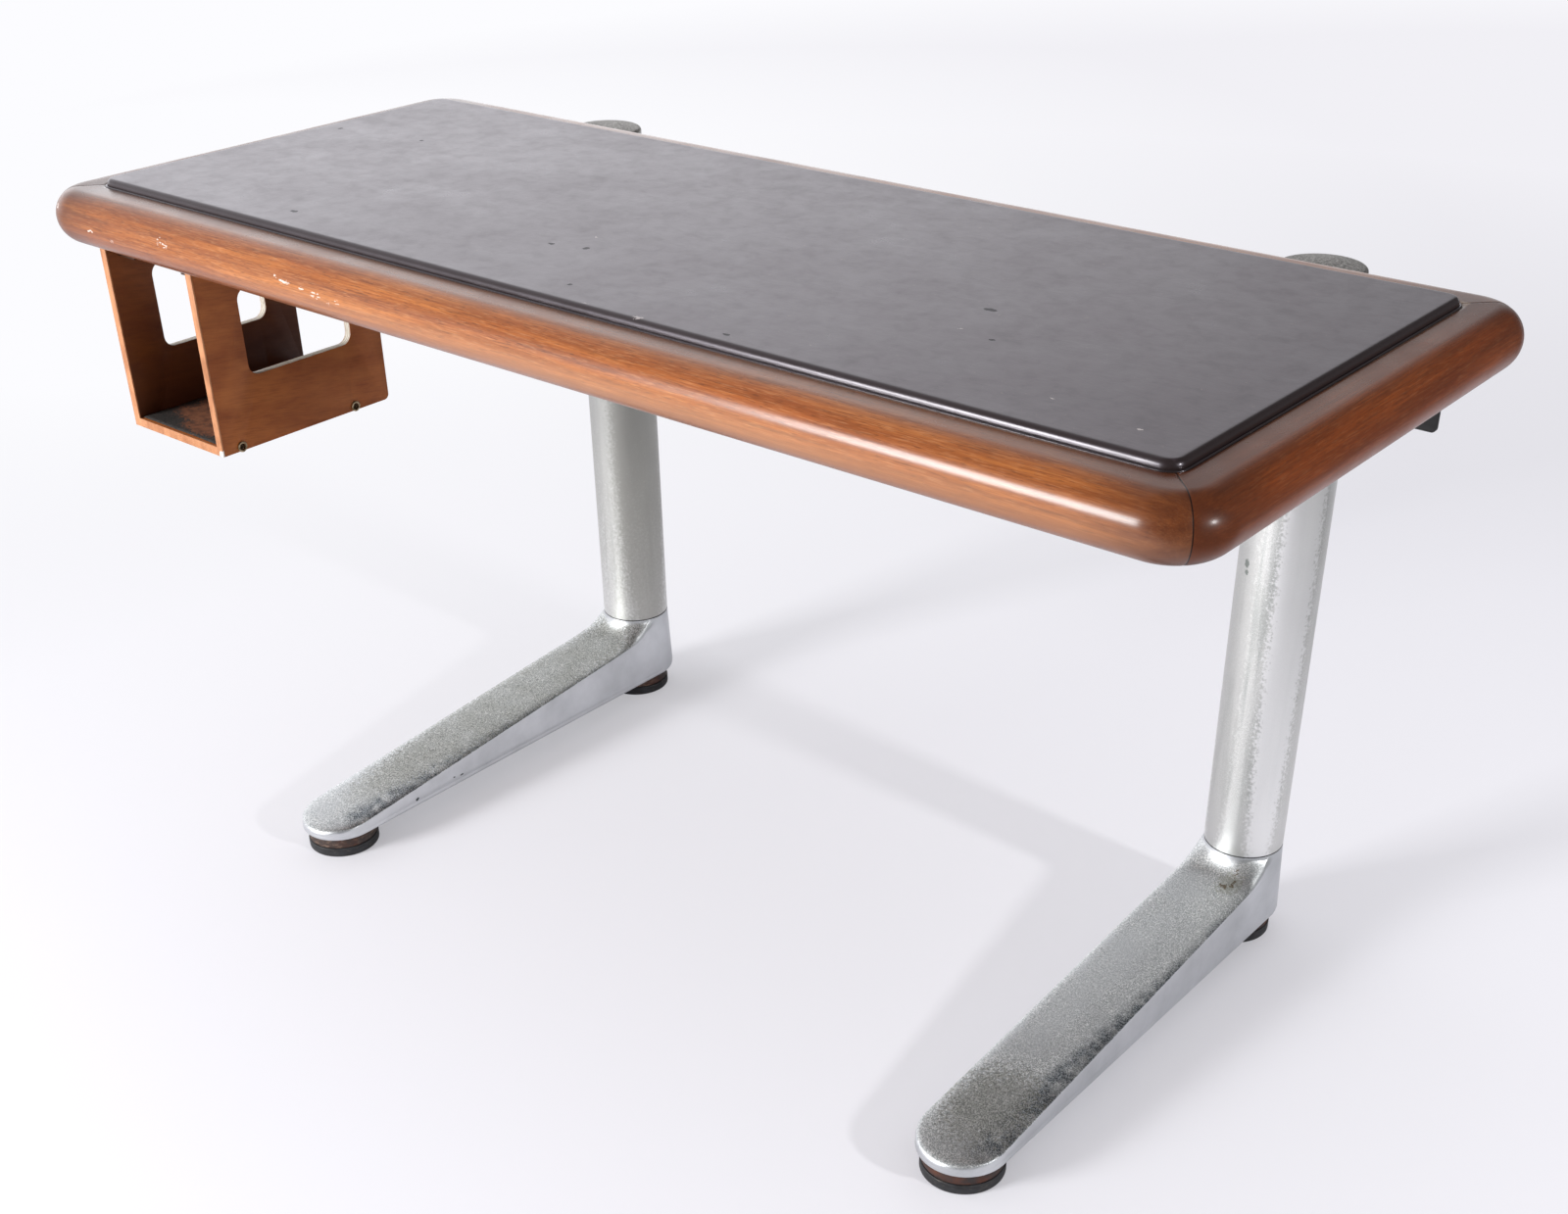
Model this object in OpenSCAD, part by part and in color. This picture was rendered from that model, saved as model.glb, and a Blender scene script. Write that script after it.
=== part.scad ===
// Office desk. A leather-topped board lies in a mitred frame of bullnosed hardwood. Two plated
// steel columns stand just behind the top on long cast feet, and black steel arms reach forward
// from them under the top. A plywood paper rack hangs under the left end.
// X runs along the desk, Y from the sitter's side to the rear, and Z up. The origin is on the
// floor under the middle of the whole outline. All sizes are in millimetres.

/* [Desk] */
// Height of the leather writing surface above the floor
desk_height = 736; // [700:1:780]
// Length of the top from end to end
top_length = 1322; // [1310:1:1800]
// Depth of the top from front edge to rear edge
top_depth = 548; // [500:1:800]
// Distance between the axes of the two columns
leg_spread = 886; // [800:1:910]
// Gap between the rear edge of the top and the columns
column_gap = 1.5; // [1:0.5:6]

/* [Wood edge] */
// Thickness of the wood edge, whose outer side is a full half round
edge_thickness = 56; // [54:1:60]
// Width of wood that shows round the leather
edge_band = 47; // [44:1:60]
// Width of the ledge inside the frame that carries the leather panel
seat_width = 18; // [14:1:26]
// Radius of the corners of the top in plan
corner_radius = 50; // [46:1:60]
// Thickness of the tongue round the core board
tongue_thickness = 8; // [6:0.5:10]
// Length of the tongue round the core board
tongue_length = 10; // [6:0.5:12]
// Clearance of the tongue in its groove
tongue_clearance = 0.2; // [0.1:0.1:0.4]

/* [Mitre splines] */
// Thickness of the loose plywood spline in each mitre
spline_thickness = 6; // [4:0.5:8]
// Length of a spline along its mitre
spline_length = 36; // [24:1:40]
// Width of a spline across its mitre
spline_width = 20; // [14:1:24]
// Distance of the splines from the inner faces of the rails
spline_inset = 4; // [2:0.5:5]
// Height of the splines above the underside of the frame
spline_lift = 7; // [5:0.5:9]
// Clearance of a spline in its slot
spline_clearance = 0.1; // [0.05:0.05:0.3]

/* [Leather panel] */
// How far the leather stands above the wood
leather_proud = 3; // [2:0.5:6]
// Thickness of the leather
leather_thickness = 2; // [1.5:0.25:3]
// Thickness of the board under the leather
pad_board_thickness = 16; // [14:0.5:18]
// Radius of the corners of the leather panel in plan
panel_corner = 14; // [10:1:18]
// Radius of the soft upper edge of the leather
bead_radius = 5; // [3:0.5:6]
// Width of the leather welt round the panel
welt_width = 2.5; // [2:0.25:4]
// How far the welt stands above the wood
welt_proud = 0.5; // [0.25:0.25:1.5]

/* [Boards] */
// Thickness of the core board
core_thickness = 25; // [22:0.5:27]

/* [Columns] */
// Outside diameter of a column
column_diameter = 82; // [78:1:90]
// Wall thickness of a column
column_wall = 4; // [3:0.5:5]
// Distance of the top of the column caps below the writing surface
cap_drop = 27; // [22:1:40]
// Thickness of the rim of a column cap
cap_thickness = 6; // [5:0.5:8]
// Radius of the rounded edge of a column cap
cap_edge = 4; // [2:0.5:5]
// Depth of the cap's plug in the tube
cap_plug = 3; // [2:0.5:4]
// Wall of the cap's hollow plug
cap_plug_wall = 4; // [3:0.5:6]
// Clearance of what slides into the tube of a column
tube_clearance = 0.2; // [0.1:0.05:0.4]

/* [Feet] */
// Height of the seam between a foot and its column
seam_height = 107; // [104:1:120]
// How much wider each side of a foot is at its base than at the seam
heel_flare = 3.5; // [1:0.5:5]
// Distance of the tips of the feet behind the front edge of the top
tip_setback = 45; // [20:1:80]
// Thickness of a foot at its tip
tip_thickness = 13; // [12:0.5:18]
// Height that the top of a foot gains from its tip to the column
foot_rise = 48; // [40:1:52]
// Straight collar of a foot below the seam
collar_height = 4; // [2:0.5:6]
// How far the hollow curve below the collar runs out from the column
neck_run = 45; // [30:1:60]
// How far the hollow curve below the collar drops
neck_drop = 24; // [16:1:30]
// Wall of the casting
foot_wall = 7; // [6:0.5:9]
// Thickness of the ribs under a foot
rib_thickness = 5; // [4:0.5:8]
// Number of hollow cells under a foot
cell_count = 4; // [3:1:6]
// Height of the spigot that enters the column
spigot_height = 30; // [20:1:40]

/* [Glides] */
// Diameter of the rubber sole of a glide
sole_diameter = 80; // [60:1:84]
// Thickness of the rubber sole
sole_thickness = 11; // [8:0.5:14]
// Bevel round the bottom of the rubber sole
sole_bevel = 1.5; // [0.5:0.5:3]
// Diameter of the fibre disc above the sole
disc_diameter = 78; // [58:1:82]
// Thickness of the fibre disc
disc_thickness = 14; // [10:0.5:16]
// Diameter of the threaded stud
stud_diameter = 12; // [10:1:14]
// Length of stud above the fibre disc
stud_length = 12; // [8:0.5:12]
// Depth of the stud's foot in the fibre disc
stud_root = 10; // [6:0.5:10]
// Outside diameter of the threaded insert in the foot
insert_diameter = 20; // [18:1:24]
// Clearance of the stud in its insert
stud_clearance = 0.05; // [0.02:0.01:0.1]
// Clearance of the insert in the casting
insert_clearance = 0.05; // [0.02:0.01:0.1]
// Distance of the rear glides in front of the column axis
rear_glide_offset = 5; // [0:1:8]

/* [Tie rods] */
// Diameter of the rod that clamps foot, column and arm together
rod_diameter = 12; // [10:1:14]
// Clearance of the rod in its holes
rod_clearance = 0.1; // [0.05:0.05:0.5]
// Depth of the rod's thread in the foot, measured from the seam
rod_depth = 40; // [30:1:48]
// Length of rod that stands above the nut
rod_end = 2; // [1:0.5:3]
// Diameter of the washer under the nut
washer_diameter = 28; // [26:1:32]
// Thickness of the washer
washer_thickness = 2.5; // [2:0.5:3]
// Width of the nut across its flats
nut_flats = 19; // [17:1:22]
// Height of the nut
nut_height = 8; // [7:0.5:9]

/* [Under-frame] */
// Width of the channel section of an arm
arm_width = 32; // [28:1:33]
// Depth of the channel section of an arm
arm_depth = 36; // [30:1:40]
// Wall thickness of an arm
arm_wall = 4; // [3:0.5:5]
// Distance of the front ends of the arms behind the front edge of the top
arm_setback = 107; // [60:1:160]
// Height of the round block by which an arm is clamped in its column
block_height = 44; // [42:1:60]
// Height of the block above the underside of the top
block_rise = 5; // [2:1:6]
// Clearance of an arm in the slot of its column
slot_clearance = 0.3; // [0.2:0.1:0.6]
// Depth of the stretchers' upright leg
stretcher_depth = 41; // [30:1:50]
// Width of the stretchers' level leg
stretcher_flange = 36; // [28:1:40]
// Wall thickness of the stretchers
stretcher_wall = 4; // [3:0.5:5]
// Distance of the stretchers in front of the rear edge of the top
stretcher_setback = 94; // [90:1:130]
// Distance of the stretchers' outer ends from the ends of the top
stretcher_end = 38; // [20:1:60]
// Radius of the lower outer corner of the stretchers
stretcher_corner = 4; // [2:0.5:8]

/* [Screws] */
// Diameter of the wood screws of the under-frame
screw_diameter = 5; // [4:0.5:5.5]
// Length of the wood screws of the under-frame
screw_length = 34; // [24:1:38]
// Diameter of the pan heads
head_diameter = 10; // [8:0.5:11]
// Height of the pan heads
head_height = 3; // [2:0.5:4]
// Clearance of every screw in its hole
screw_clearance = 0.1; // [0.05:0.05:0.2]
// Number of screws in each arm
arm_screw_count = 4; // [3:1:6]
// Distance of the first and last screw from the ends of what they hold
screw_margin = 30; // [20:1:40]

/* [Paper rack] */
// Gap between the rack and the left arm
rack_gap = 1; // [1:0.5:6]
// Distance of the rack behind the front edge of the top
rack_setback = 33; // [30:1:60]
// Outside width of the rack
rack_width = 153; // [120:1:165]
// Depth of the rack from front to rear
rack_depth = 218; // [160:1:280]
// Height of the rack
rack_height = 193; // [150:1:240]
// Thickness of the plywood
rack_wall = 9; // [8:0.5:12]
// Thickness of the solid lipping on the front edges
lipping_thickness = 2; // [1:0.5:3]
// Distance of the window behind the front of the rack
window_front = 48; // [35:1:60]
// Width of the window in each side
window_width = 131; // [60:1:131]
// Height of the sill of the window above the base of the rack
window_sill = 72; // [40:1:80]
// Height of the window
window_height = 88; // [50:1:92]
// Radius of the corners of the window
window_radius = 12; // [6:1:20]
// Radius of the lower rear corner of each side
side_radius = 6; // [3:1:12]
// Thickness of the lining on the floor of the rack
lining_thickness = 1.5; // [1:0.25:3]
// Gap round the lining
lining_gap = 2; // [1:0.5:6]
// Width of the cleats that carry the rack
cleat_width = 28; // [24:1:34]
// Height of the cleats
cleat_height = 16; // [14:0.5:20]
// Distance of the cleats from the front and rear of the rack
cleat_setback = 14; // [8:1:24]
// Diameter of the small screws
small_screw_diameter = 3.5; // [3:0.25:4]
// Length of the small screws
small_screw_length = 28; // [24:1:30]
// Head diameter of the small screws
small_head_diameter = 7; // [6:0.5:8]
// Distance of the front floor screws behind the front of the rack
floor_screw_front = 24; // [16:1:40]
// Distance of the rear floor screws in front of the rear of the rack
floor_screw_rear = 46; // [16:1:60]
// Outside diameter of the cup washers on the floor screws
cup_diameter = 11; // [10:0.5:13]
// Height of the cup washers
cup_height = 1.2; // [0.8:0.1:2]

/* [Hidden] */
$fn = 96;
// Allowance by which a cut runs past the surface that it opens
past = 1;

wood_top = desk_height - leather_proud;
underside = wood_top - edge_thickness;
bullnose = edge_thickness / 2;
panel_thickness = leather_thickness + pad_board_thickness;
seat_level = desk_height - panel_thickness;
core_bottom = seat_level - core_thickness;

column_r = column_diameter / 2;
bore_r = column_r - column_wall;
plug_r = bore_r - tube_clearance;
foot_r = column_r + heel_flare;
outline_depth = top_depth + column_gap + column_r + foot_r;
front_y = -outline_depth / 2;
rear_y = front_y + top_depth;
top_y = front_y + top_depth / 2;
column_y = rear_y + column_gap + column_r;
column_x = leg_spread / 2;
cap_top = desk_height - cap_drop;
tube_top = cap_top - cap_thickness;

opening_length = top_length - 2 * edge_band;
opening_depth = top_depth - 2 * edge_band;
opening_corner = panel_corner + welt_width;
panel_length = opening_length - 2 * welt_width;
panel_depth = opening_depth - 2 * welt_width;
core_length = opening_length - 2 * seat_width;
core_depth = opening_depth - 2 * seat_width;
tongue_level = core_bottom + (core_thickness - tongue_thickness) / 2;

foot_base = sole_thickness + disc_thickness;
tip_y = front_y + tip_setback + foot_r;
tip_top = foot_base + tip_thickness;
foot_slope = foot_rise / (column_y - column_r - (tip_y - foot_r));
rear_glide_y = column_y - rear_glide_offset;
insert_depth = stud_length + past;
cells_front = tip_y + insert_diameter / 2 + foot_wall;
cells_rear = column_y - column_r;
cell_pitch = (cells_rear - cells_front + rib_thickness) / cell_count;
cell_length = cell_pitch - rib_thickness;

block_top = underside + block_rise;
arm_front = front_y + arm_setback;
rod_bottom = seam_height - rod_depth;
rod_top = block_top + washer_thickness + nut_height + rod_end;

stretcher_y = rear_y - stretcher_setback;
stretcher_end_x = top_length / 2 - stretcher_end;
stretcher_screw_y = stretcher_y + stretcher_wall + head_diameter / 2 + past;
inner_screw_x = column_x - arm_width / 2 - screw_margin;
outer_screws_x = [column_x + arm_width / 2 + screw_margin, core_length / 2 - screw_margin / 2];
arm_screw_pitch = (rear_y - edge_band - seat_width - screw_margin - arm_front - screw_margin)
                  / (arm_screw_count - 1);

rack_x = -column_x - arm_width / 2 - rack_gap - rack_width;
rack_right_x = rack_x + rack_width - rack_wall;
rack_y = front_y + rack_setback;
rack_base = underside - rack_height;
panel_y = rack_y + lipping_thickness;
side_depth = rack_depth - lipping_thickness;
cleat_length = rack_depth - 2 * cleat_setback;
cleat_screws_y = [rack_y + cleat_setback + screw_margin,
                  rack_y + rack_depth - cleat_setback - screw_margin];
floor_screws_y = [rack_y + floor_screw_front, rack_y + rack_depth - floor_screw_rear];
cleats_x = [rack_x + rack_wall, rack_right_x - cleat_width];

ENDS = [-1, 1];

// Rectangle about the origin with round corners
module round_rectangle(length, depth, radius) {
    square([length - 2 * radius, depth], center = true);
    square([length, depth - 2 * radius], center = true);
    for (x = ENDS, y = ENDS)
        translate([x * (length / 2 - radius), y * (depth / 2 - radius)]) circle(radius);
}

// Slab about the origin whose edge is the child outline, drawn from the corner's axis outwards
module edged_slab(length, depth, radius, height) {
    straight_x = length - 2 * radius;
    straight_y = depth - 2 * radius;
    translate([-straight_x / 2, -straight_y / 2, 0]) cube([straight_x, straight_y, height]);
    for (side = ENDS) {
        translate([-straight_x / 2, side * straight_y / 2, 0])
            rotate([90, 0, 90]) linear_extrude(straight_x) mirror([side < 0 ? 1 : 0, 0]) children();
        translate([side * straight_x / 2, straight_y / 2, 0])
            rotate([90, 0, 0]) linear_extrude(straight_y) mirror([side < 0 ? 1 : 0, 0]) children();
    }
    for (turn = [0, 1, 2, 3]) {
        x = turn == 0 || turn == 3 ? 1 : -1;
        y = turn < 2 ? 1 : -1;
        translate([x * straight_x / 2, y * straight_y / 2, 0])
            rotate(90 * turn) rotate_extrude(angle = 90) children();
    }
}

// Half of the bullnosed edge, from the axis of the plan corner to its outermost line
module bullnose_outline() {
    square([corner_radius - bullnose, edge_thickness]);
    intersection() {
        translate([corner_radius - bullnose, bullnose]) circle(bullnose);
        square([corner_radius, edge_thickness]);
    }
}

// Half of the leather's edge, from the axis of the plan corner to its outermost line
module bead_outline() {
    square([panel_corner - bead_radius, panel_thickness]);
    square([panel_corner, panel_thickness - bead_radius]);
    translate([panel_corner - bead_radius, panel_thickness - bead_radius]) circle(bead_radius);
}

// The hardwood frame before it is cut into its four rails
module wood_frame() {
    difference() {
        translate([0, top_y, underside])
            edged_slab(top_length, top_depth, corner_radius, edge_thickness) bullnose_outline();
        translate([-core_length / 2, top_y - core_depth / 2, underside - past])
            cube([core_length, core_depth, edge_thickness + 2 * past]);
        translate([0, top_y, seat_level])
            linear_extrude(edge_thickness)
                round_rectangle(opening_length, opening_depth, opening_corner);
        translate([0, top_y, tongue_level - tongue_clearance]) board_block(
            core_length + 2 * (tongue_length + tongue_clearance),
            core_depth + 2 * (tongue_length + tongue_clearance),
            tongue_thickness + 2 * tongue_clearance);
        spline_set(spline_clearance);
        at_hanging_screws() flat_screw(screw_clearance);
    }
}

// Plain board about the origin
module board_block(length, depth, height) {
    translate([-length / 2, -depth / 2, 0]) cube([length, depth, height]);
}

// The four splines, each larger by grow all round
module spline_set(grow) {
    reach = edge_band + seat_width - spline_inset - (spline_length + spline_width) / sqrt(8);
    for (x = ENDS, y = ENDS)
        translate([x * (top_length / 2 - reach), top_y + y * (top_depth / 2 - reach),
                   underside + spline_lift - grow])
            rotate(x * y * 45)
                board_block(spline_length + 2 * grow, spline_width + 2 * grow,
                            spline_thickness + 2 * grow);
}

// Prism over the part of the frame that belongs to the front rail, or to the rear rail
module long_mitre(side) {
    translate([0, top_y, underside - past]) linear_extrude(edge_thickness + 2 * past)
        polygon([[-top_length / 2 - past, side * (top_depth / 2 + past)],
                 [top_length / 2 + past, side * (top_depth / 2 + past)],
                 [(top_length - top_depth) / 2, 0],
                 [-(top_length - top_depth) / 2, 0]]);
}

// Prism over the part of the frame that belongs to the left rail, or to the right rail
module short_mitre(side) {
    translate([0, top_y, underside - past]) linear_extrude(edge_thickness + 2 * past)
        polygon([[side * (top_length / 2 + past), -top_depth / 2 - past],
                 [side * (top_length / 2 + past), top_depth / 2 + past],
                 [side * (top_length - top_depth) / 2, 0]]);
}

module front_rail() {
    color("peru") intersection() { wood_frame(); long_mitre(-1); }
}
module rear_rail() {
    color("peru") intersection() { wood_frame(); long_mitre(1); }
}
module left_rail() {
    color("sienna") intersection() { wood_frame(); short_mitre(-1); }
}
module right_rail() {
    color("sienna") intersection() { wood_frame(); short_mitre(1); }
}
module mitre_splines() {
    color("burlywood") spline_set(0);
}

// Leather drawn over the top and edges of its board
module leather_skin() {
    color("#2a2321") translate([0, top_y, seat_level]) difference() {
        edged_slab(panel_length, panel_depth, panel_corner, panel_thickness) bead_outline();
        translate([0, 0, -past]) linear_extrude(pad_board_thickness + past)
            round_rectangle(panel_length - 2 * leather_thickness, panel_depth - 2 * leather_thickness,
                            panel_corner - leather_thickness);
    }
}
module pad_board() {
    color("tan") translate([0, top_y, seat_level]) linear_extrude(pad_board_thickness)
        round_rectangle(panel_length - 2 * leather_thickness, panel_depth - 2 * leather_thickness,
                        panel_corner - leather_thickness);
}
module edge_welt() {
    color("#1c1715") translate([0, top_y, seat_level])
        linear_extrude(wood_top + welt_proud - seat_level) difference() {
            round_rectangle(opening_length, opening_depth, opening_corner);
            round_rectangle(panel_length, panel_depth, panel_corner);
        }
}

// Core board with a tongue all round that the frame's groove takes
module top_core() {
    color("burlywood") difference() {
        union() {
            translate([0, top_y, core_bottom]) board_block(core_length, core_depth, core_thickness);
            translate([0, top_y, tongue_level])
                board_block(core_length + 2 * tongue_length, core_depth + 2 * tongue_length,
                            tongue_thickness);
        }
        board_screw_holes();
    }
}
module underside_panel() {
    color("saddlebrown") difference() {
        translate([0, top_y, underside]) board_block(core_length, core_depth, core_bottom - underside);
        board_screw_holes();
    }
}

// Pan-head wood screw with its seat at the origin, pointing up, larger by grow all round
module pan_screw(grow) {
    cylinder(r = screw_diameter / 2 + grow, h = screw_length + grow);
    if (grow == 0) translate([0, 0, -head_height]) cylinder(r = head_diameter / 2, h = head_height);
}

// Countersunk screw with its head's face at the origin, pointing along +Z, larger by grow all round
module flat_screw(grow) {
    cone = (small_head_diameter - small_screw_diameter) / 2;
    cylinder(r = small_screw_diameter / 2 + grow, h = small_screw_length + grow);
    cylinder(r1 = small_head_diameter / 2 + grow, r2 = small_screw_diameter / 2 + grow, h = cone);
}

// The child at every screw place of both arms
module at_arm_screws() {
    for (side = ENDS, i = [0 : arm_screw_count - 1])
        translate([side * column_x, arm_front + screw_margin + i * arm_screw_pitch, underside - arm_wall])
            children();
}

// The child at every screw place of the three stretchers
module at_stretcher_screws() {
    for (x = concat([inner_screw_x, inner_screw_x / 3], outer_screws_x), side = ENDS)
        translate([side * x, stretcher_screw_y, underside - stretcher_wall]) children();
}

// The child at every screw that holds the cleats to the top, with its head under the cleat
module at_hanging_screws() {
    for (x = cleats_x, y = cleat_screws_y)
        translate([x + cleat_width / 2, y, underside - cleat_height]) children();
}

module board_screw_holes() {
    at_arm_screws() pan_screw(screw_clearance);
    at_stretcher_screws() pan_screw(screw_clearance);
    at_hanging_screws() flat_screw(screw_clearance);
}

// Steel tube with a slot down from its top for the arm
module column(side) {
    color("#b8bcba") difference() {
        translate([side * column_x, column_y, seam_height])
            cylinder(r = column_r, h = tube_top - seam_height);
        translate([side * column_x, column_y, seam_height - past])
            cylinder(r = bore_r, h = tube_top - seam_height + 2 * past);
        translate([side * column_x - arm_width / 2 - slot_clearance, column_y - column_r - past,
                   underside - arm_depth - slot_clearance])
            cube([arm_width + 2 * slot_clearance, column_r + past, tube_top]);
    }
}
module left_column() { column(-1); }
module right_column() { column(1); }

// Low domed cap with a hollow plug in the top of the tube
module column_cap(side) {
    color("#a9ada8") translate([side * column_x, column_y, tube_top]) difference() {
        union() {
            rotate_extrude() {
                square([column_r - cap_edge, cap_thickness]);
                square([column_r, cap_thickness - cap_edge]);
                translate([column_r - cap_edge, cap_thickness - cap_edge]) intersection() {
                    circle(cap_edge);
                    square(cap_edge);
                }
            }
            translate([0, 0, -cap_plug]) cylinder(r = plug_r, h = cap_plug + cap_thickness / 2);
        }
        translate([0, 0, -cap_plug - past])
            cylinder(r = plug_r - cap_plug_wall, h = cap_plug + past + cap_thickness / 2);
    }
}
module left_column_cap() { column_cap(-1); }
module right_column_cap() { column_cap(1); }

// Outer envelope of a foot about the column's line: two tapered round ends and a tapered middle
module foot_envelope() {
    height = seam_height - foot_base;
    for (y = [tip_y, column_y])
        translate([0, y, foot_base]) cylinder(r1 = foot_r, r2 = column_r, h = height);
    translate([0, column_y, 0]) rotate([90, 0, 0]) linear_extrude(column_y - tip_y)
        polygon([[-foot_r, foot_base], [foot_r, foot_base],
                 [column_r, seam_height], [-column_r, seam_height]]);
}

// Side view of the wedge that climbs from the tip to the column, its top lowered by drop
module wedge_outline(drop) {
    start = tip_y - foot_r;
    length = column_y - start;
    polygon([[start, foot_base - past], [column_y, foot_base - past],
             [column_y, tip_top - drop + foot_slope * length], [start, tip_top - drop]]);
}

// The round neck, with a hollow curve that runs out from the collar
module foot_neck() {
    steps = 14;
    level = seam_height - collar_height;
    translate([0, column_y, 0]) rotate_extrude()
        polygon(concat([[0, foot_base], [0, seam_height], [column_r, seam_height]],
                       [for (i = [0 : steps]) [column_r + neck_run * (1 - cos(90 * i / steps)),
                                               level - neck_drop * sin(90 * i / steps)]],
                       [[column_r + neck_run, foot_base]]));
}

// Hollow cells between the ribs, open to the floor
module foot_cells() {
    intersection() {
        for (i = [0 : cell_count - 1])
            translate([-column_r + foot_wall, cells_front + i * cell_pitch, foot_base - past])
                cube([2 * (column_r - foot_wall), cell_length, foot_rise + tip_thickness]);
        translate([-column_r, 0, 0]) rotate([90, 0, 90]) linear_extrude(2 * column_r)
            wedge_outline(foot_wall);
    }
}

module foot(side) {
    color("#b3b7b2") translate([side * column_x, 0, 0]) difference() {
        union() {
            intersection() {
                foot_envelope();
                union() {
                    translate([-foot_r, 0, 0]) rotate([90, 0, 90]) linear_extrude(2 * foot_r)
                        wedge_outline(0);
                    foot_neck();
                }
            }
            translate([0, column_y, seam_height - past]) cylinder(r = plug_r, h = spigot_height + past);
        }
        foot_cells();
        translate([0, column_y, rod_bottom])
            cylinder(r = rod_diameter / 2 + rod_clearance, h = rod_depth + spigot_height + past);
        for (y = [tip_y, rear_glide_y])
            translate([0, y, foot_base - past])
                cylinder(r = insert_diameter / 2 + insert_clearance, h = insert_depth + past);
    }
}
module left_foot() { foot(-1); }
module right_foot() { foot(1); }

// Threaded bushes in the feet that take the studs of the glides
module glide_inserts() {
    color("dimgray") for (side = ENDS, y = [tip_y, rear_glide_y])
        translate([side * column_x, y, foot_base]) difference() {
            cylinder(r = insert_diameter / 2, h = insert_depth);
            translate([0, 0, -past])
                cylinder(r = stud_diameter / 2 + stud_clearance, h = insert_depth + 2 * past);
        }
}

module glide_sole(side, y) {
    color("#1b1a19") translate([side * column_x, y, 0]) {
        cylinder(r1 = sole_diameter / 2 - sole_bevel, r2 = sole_diameter / 2, h = sole_bevel);
        translate([0, 0, sole_bevel]) cylinder(r = sole_diameter / 2, h = sole_thickness - sole_bevel);
    }
}
module glide_disc(side, y) {
    color("#4a2d20") translate([side * column_x, y, sole_thickness]) difference() {
        cylinder(r = disc_diameter / 2, h = disc_thickness);
        translate([0, 0, disc_thickness - stud_root]) cylinder(r = stud_diameter / 2, h = stud_root + past);
    }
}
module glide_stud(side, y) {
    color("silver") translate([side * column_x, y, foot_base - stud_root])
        cylinder(r = stud_diameter / 2, h = stud_root + stud_length);
}
module front_left_sole() { glide_sole(-1, tip_y); }
module front_left_disc() { glide_disc(-1, tip_y); }
module front_left_stud() { glide_stud(-1, tip_y); }
module front_right_sole() { glide_sole(1, tip_y); }
module front_right_disc() { glide_disc(1, tip_y); }
module front_right_stud() { glide_stud(1, tip_y); }
module rear_left_sole() { glide_sole(-1, rear_glide_y); }
module rear_left_disc() { glide_disc(-1, rear_glide_y); }
module rear_left_stud() { glide_stud(-1, rear_glide_y); }
module rear_right_sole() { glide_sole(1, rear_glide_y); }
module rear_right_disc() { glide_disc(1, rear_glide_y); }
module rear_right_stud() { glide_stud(1, rear_glide_y); }

module tie_rod(side) {
    color("silver") translate([side * column_x, column_y, rod_bottom])
        cylinder(r = rod_diameter / 2, h = rod_top - rod_bottom);
}
module left_tie_rod() { tie_rod(-1); }
module right_tie_rod() { tie_rod(1); }
module tie_rod_washers() {
    color("silver") for (side = ENDS) translate([side * column_x, column_y, block_top]) difference() {
        cylinder(r = washer_diameter / 2, h = washer_thickness);
        translate([0, 0, -past])
            cylinder(r = rod_diameter / 2 + rod_clearance, h = washer_thickness + 2 * past);
    }
}
module tie_rod_nuts() {
    color("silver") for (side = ENDS)
        translate([side * column_x, column_y, block_top + washer_thickness]) difference() {
            cylinder(r = nut_flats / sqrt(3), h = nut_height, $fn = 6);
            translate([0, 0, -past])
                cylinder(r = rod_diameter / 2 + rod_clearance, h = nut_height + 2 * past);
        }
}

// Inverted channel under the top, welded to the round block inside the column
module arm(side) {
    color("#161616") translate([side * column_x, 0, 0]) difference() {
        union() {
            translate([-arm_width / 2, arm_front, underside - arm_depth])
                cube([arm_width, column_y - bore_r / 2 - arm_front, arm_depth]);
            translate([0, column_y, block_top - block_height]) cylinder(r = plug_r, h = block_height);
        }
        translate([-arm_width / 2 + arm_wall, arm_front - past, underside - arm_depth - past])
            cube([arm_width - 2 * arm_wall, rear_y - arm_front + past, arm_depth - arm_wall + past]);
        translate([0, column_y, block_top - block_height - past])
            cylinder(r = rod_diameter / 2 + rod_clearance, h = block_height + 2 * past);
        translate([-side * column_x, 0, 0]) at_arm_screws() pan_screw(screw_clearance);
    }
}
module left_arm() { arm(-1); }
module right_arm() { arm(1); }
module arm_screws() {
    color("silver") at_arm_screws() pan_screw(0);
}

// Steel angle under the top between two places along X, with a round lower corner at an open end
module stretcher(from_x, to_x, round_left, round_right) {
    color("#161616") difference() {
        union() {
            translate([from_x, stretcher_y, underside - stretcher_wall])
                cube([to_x - from_x, stretcher_flange, stretcher_wall]);
            translate([0, stretcher_y + stretcher_wall, 0]) rotate([90, 0, 0])
                linear_extrude(stretcher_wall) upright_outline(from_x, to_x, round_left, round_right);
        }
        at_stretcher_screws() pan_screw(screw_clearance);
    }
}
module upright_outline(from_x, to_x, round_left, round_right) {
    left_in = round_left ? stretcher_corner : 0;
    right_in = round_right ? stretcher_corner : 0;
    foot_level = underside - stretcher_depth;
    translate([from_x, foot_level + stretcher_corner])
        square([to_x - from_x, stretcher_depth - stretcher_corner]);
    translate([from_x + left_in, foot_level])
        square([to_x - from_x - left_in - right_in, stretcher_depth]);
    if (round_left) translate([from_x + stretcher_corner, foot_level + stretcher_corner])
        circle(stretcher_corner);
    if (round_right) translate([to_x - stretcher_corner, foot_level + stretcher_corner])
        circle(stretcher_corner);
}
module center_stretcher() {
    reach = column_x - arm_width / 2;
    stretcher(-reach, reach, false, false);
}
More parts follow.
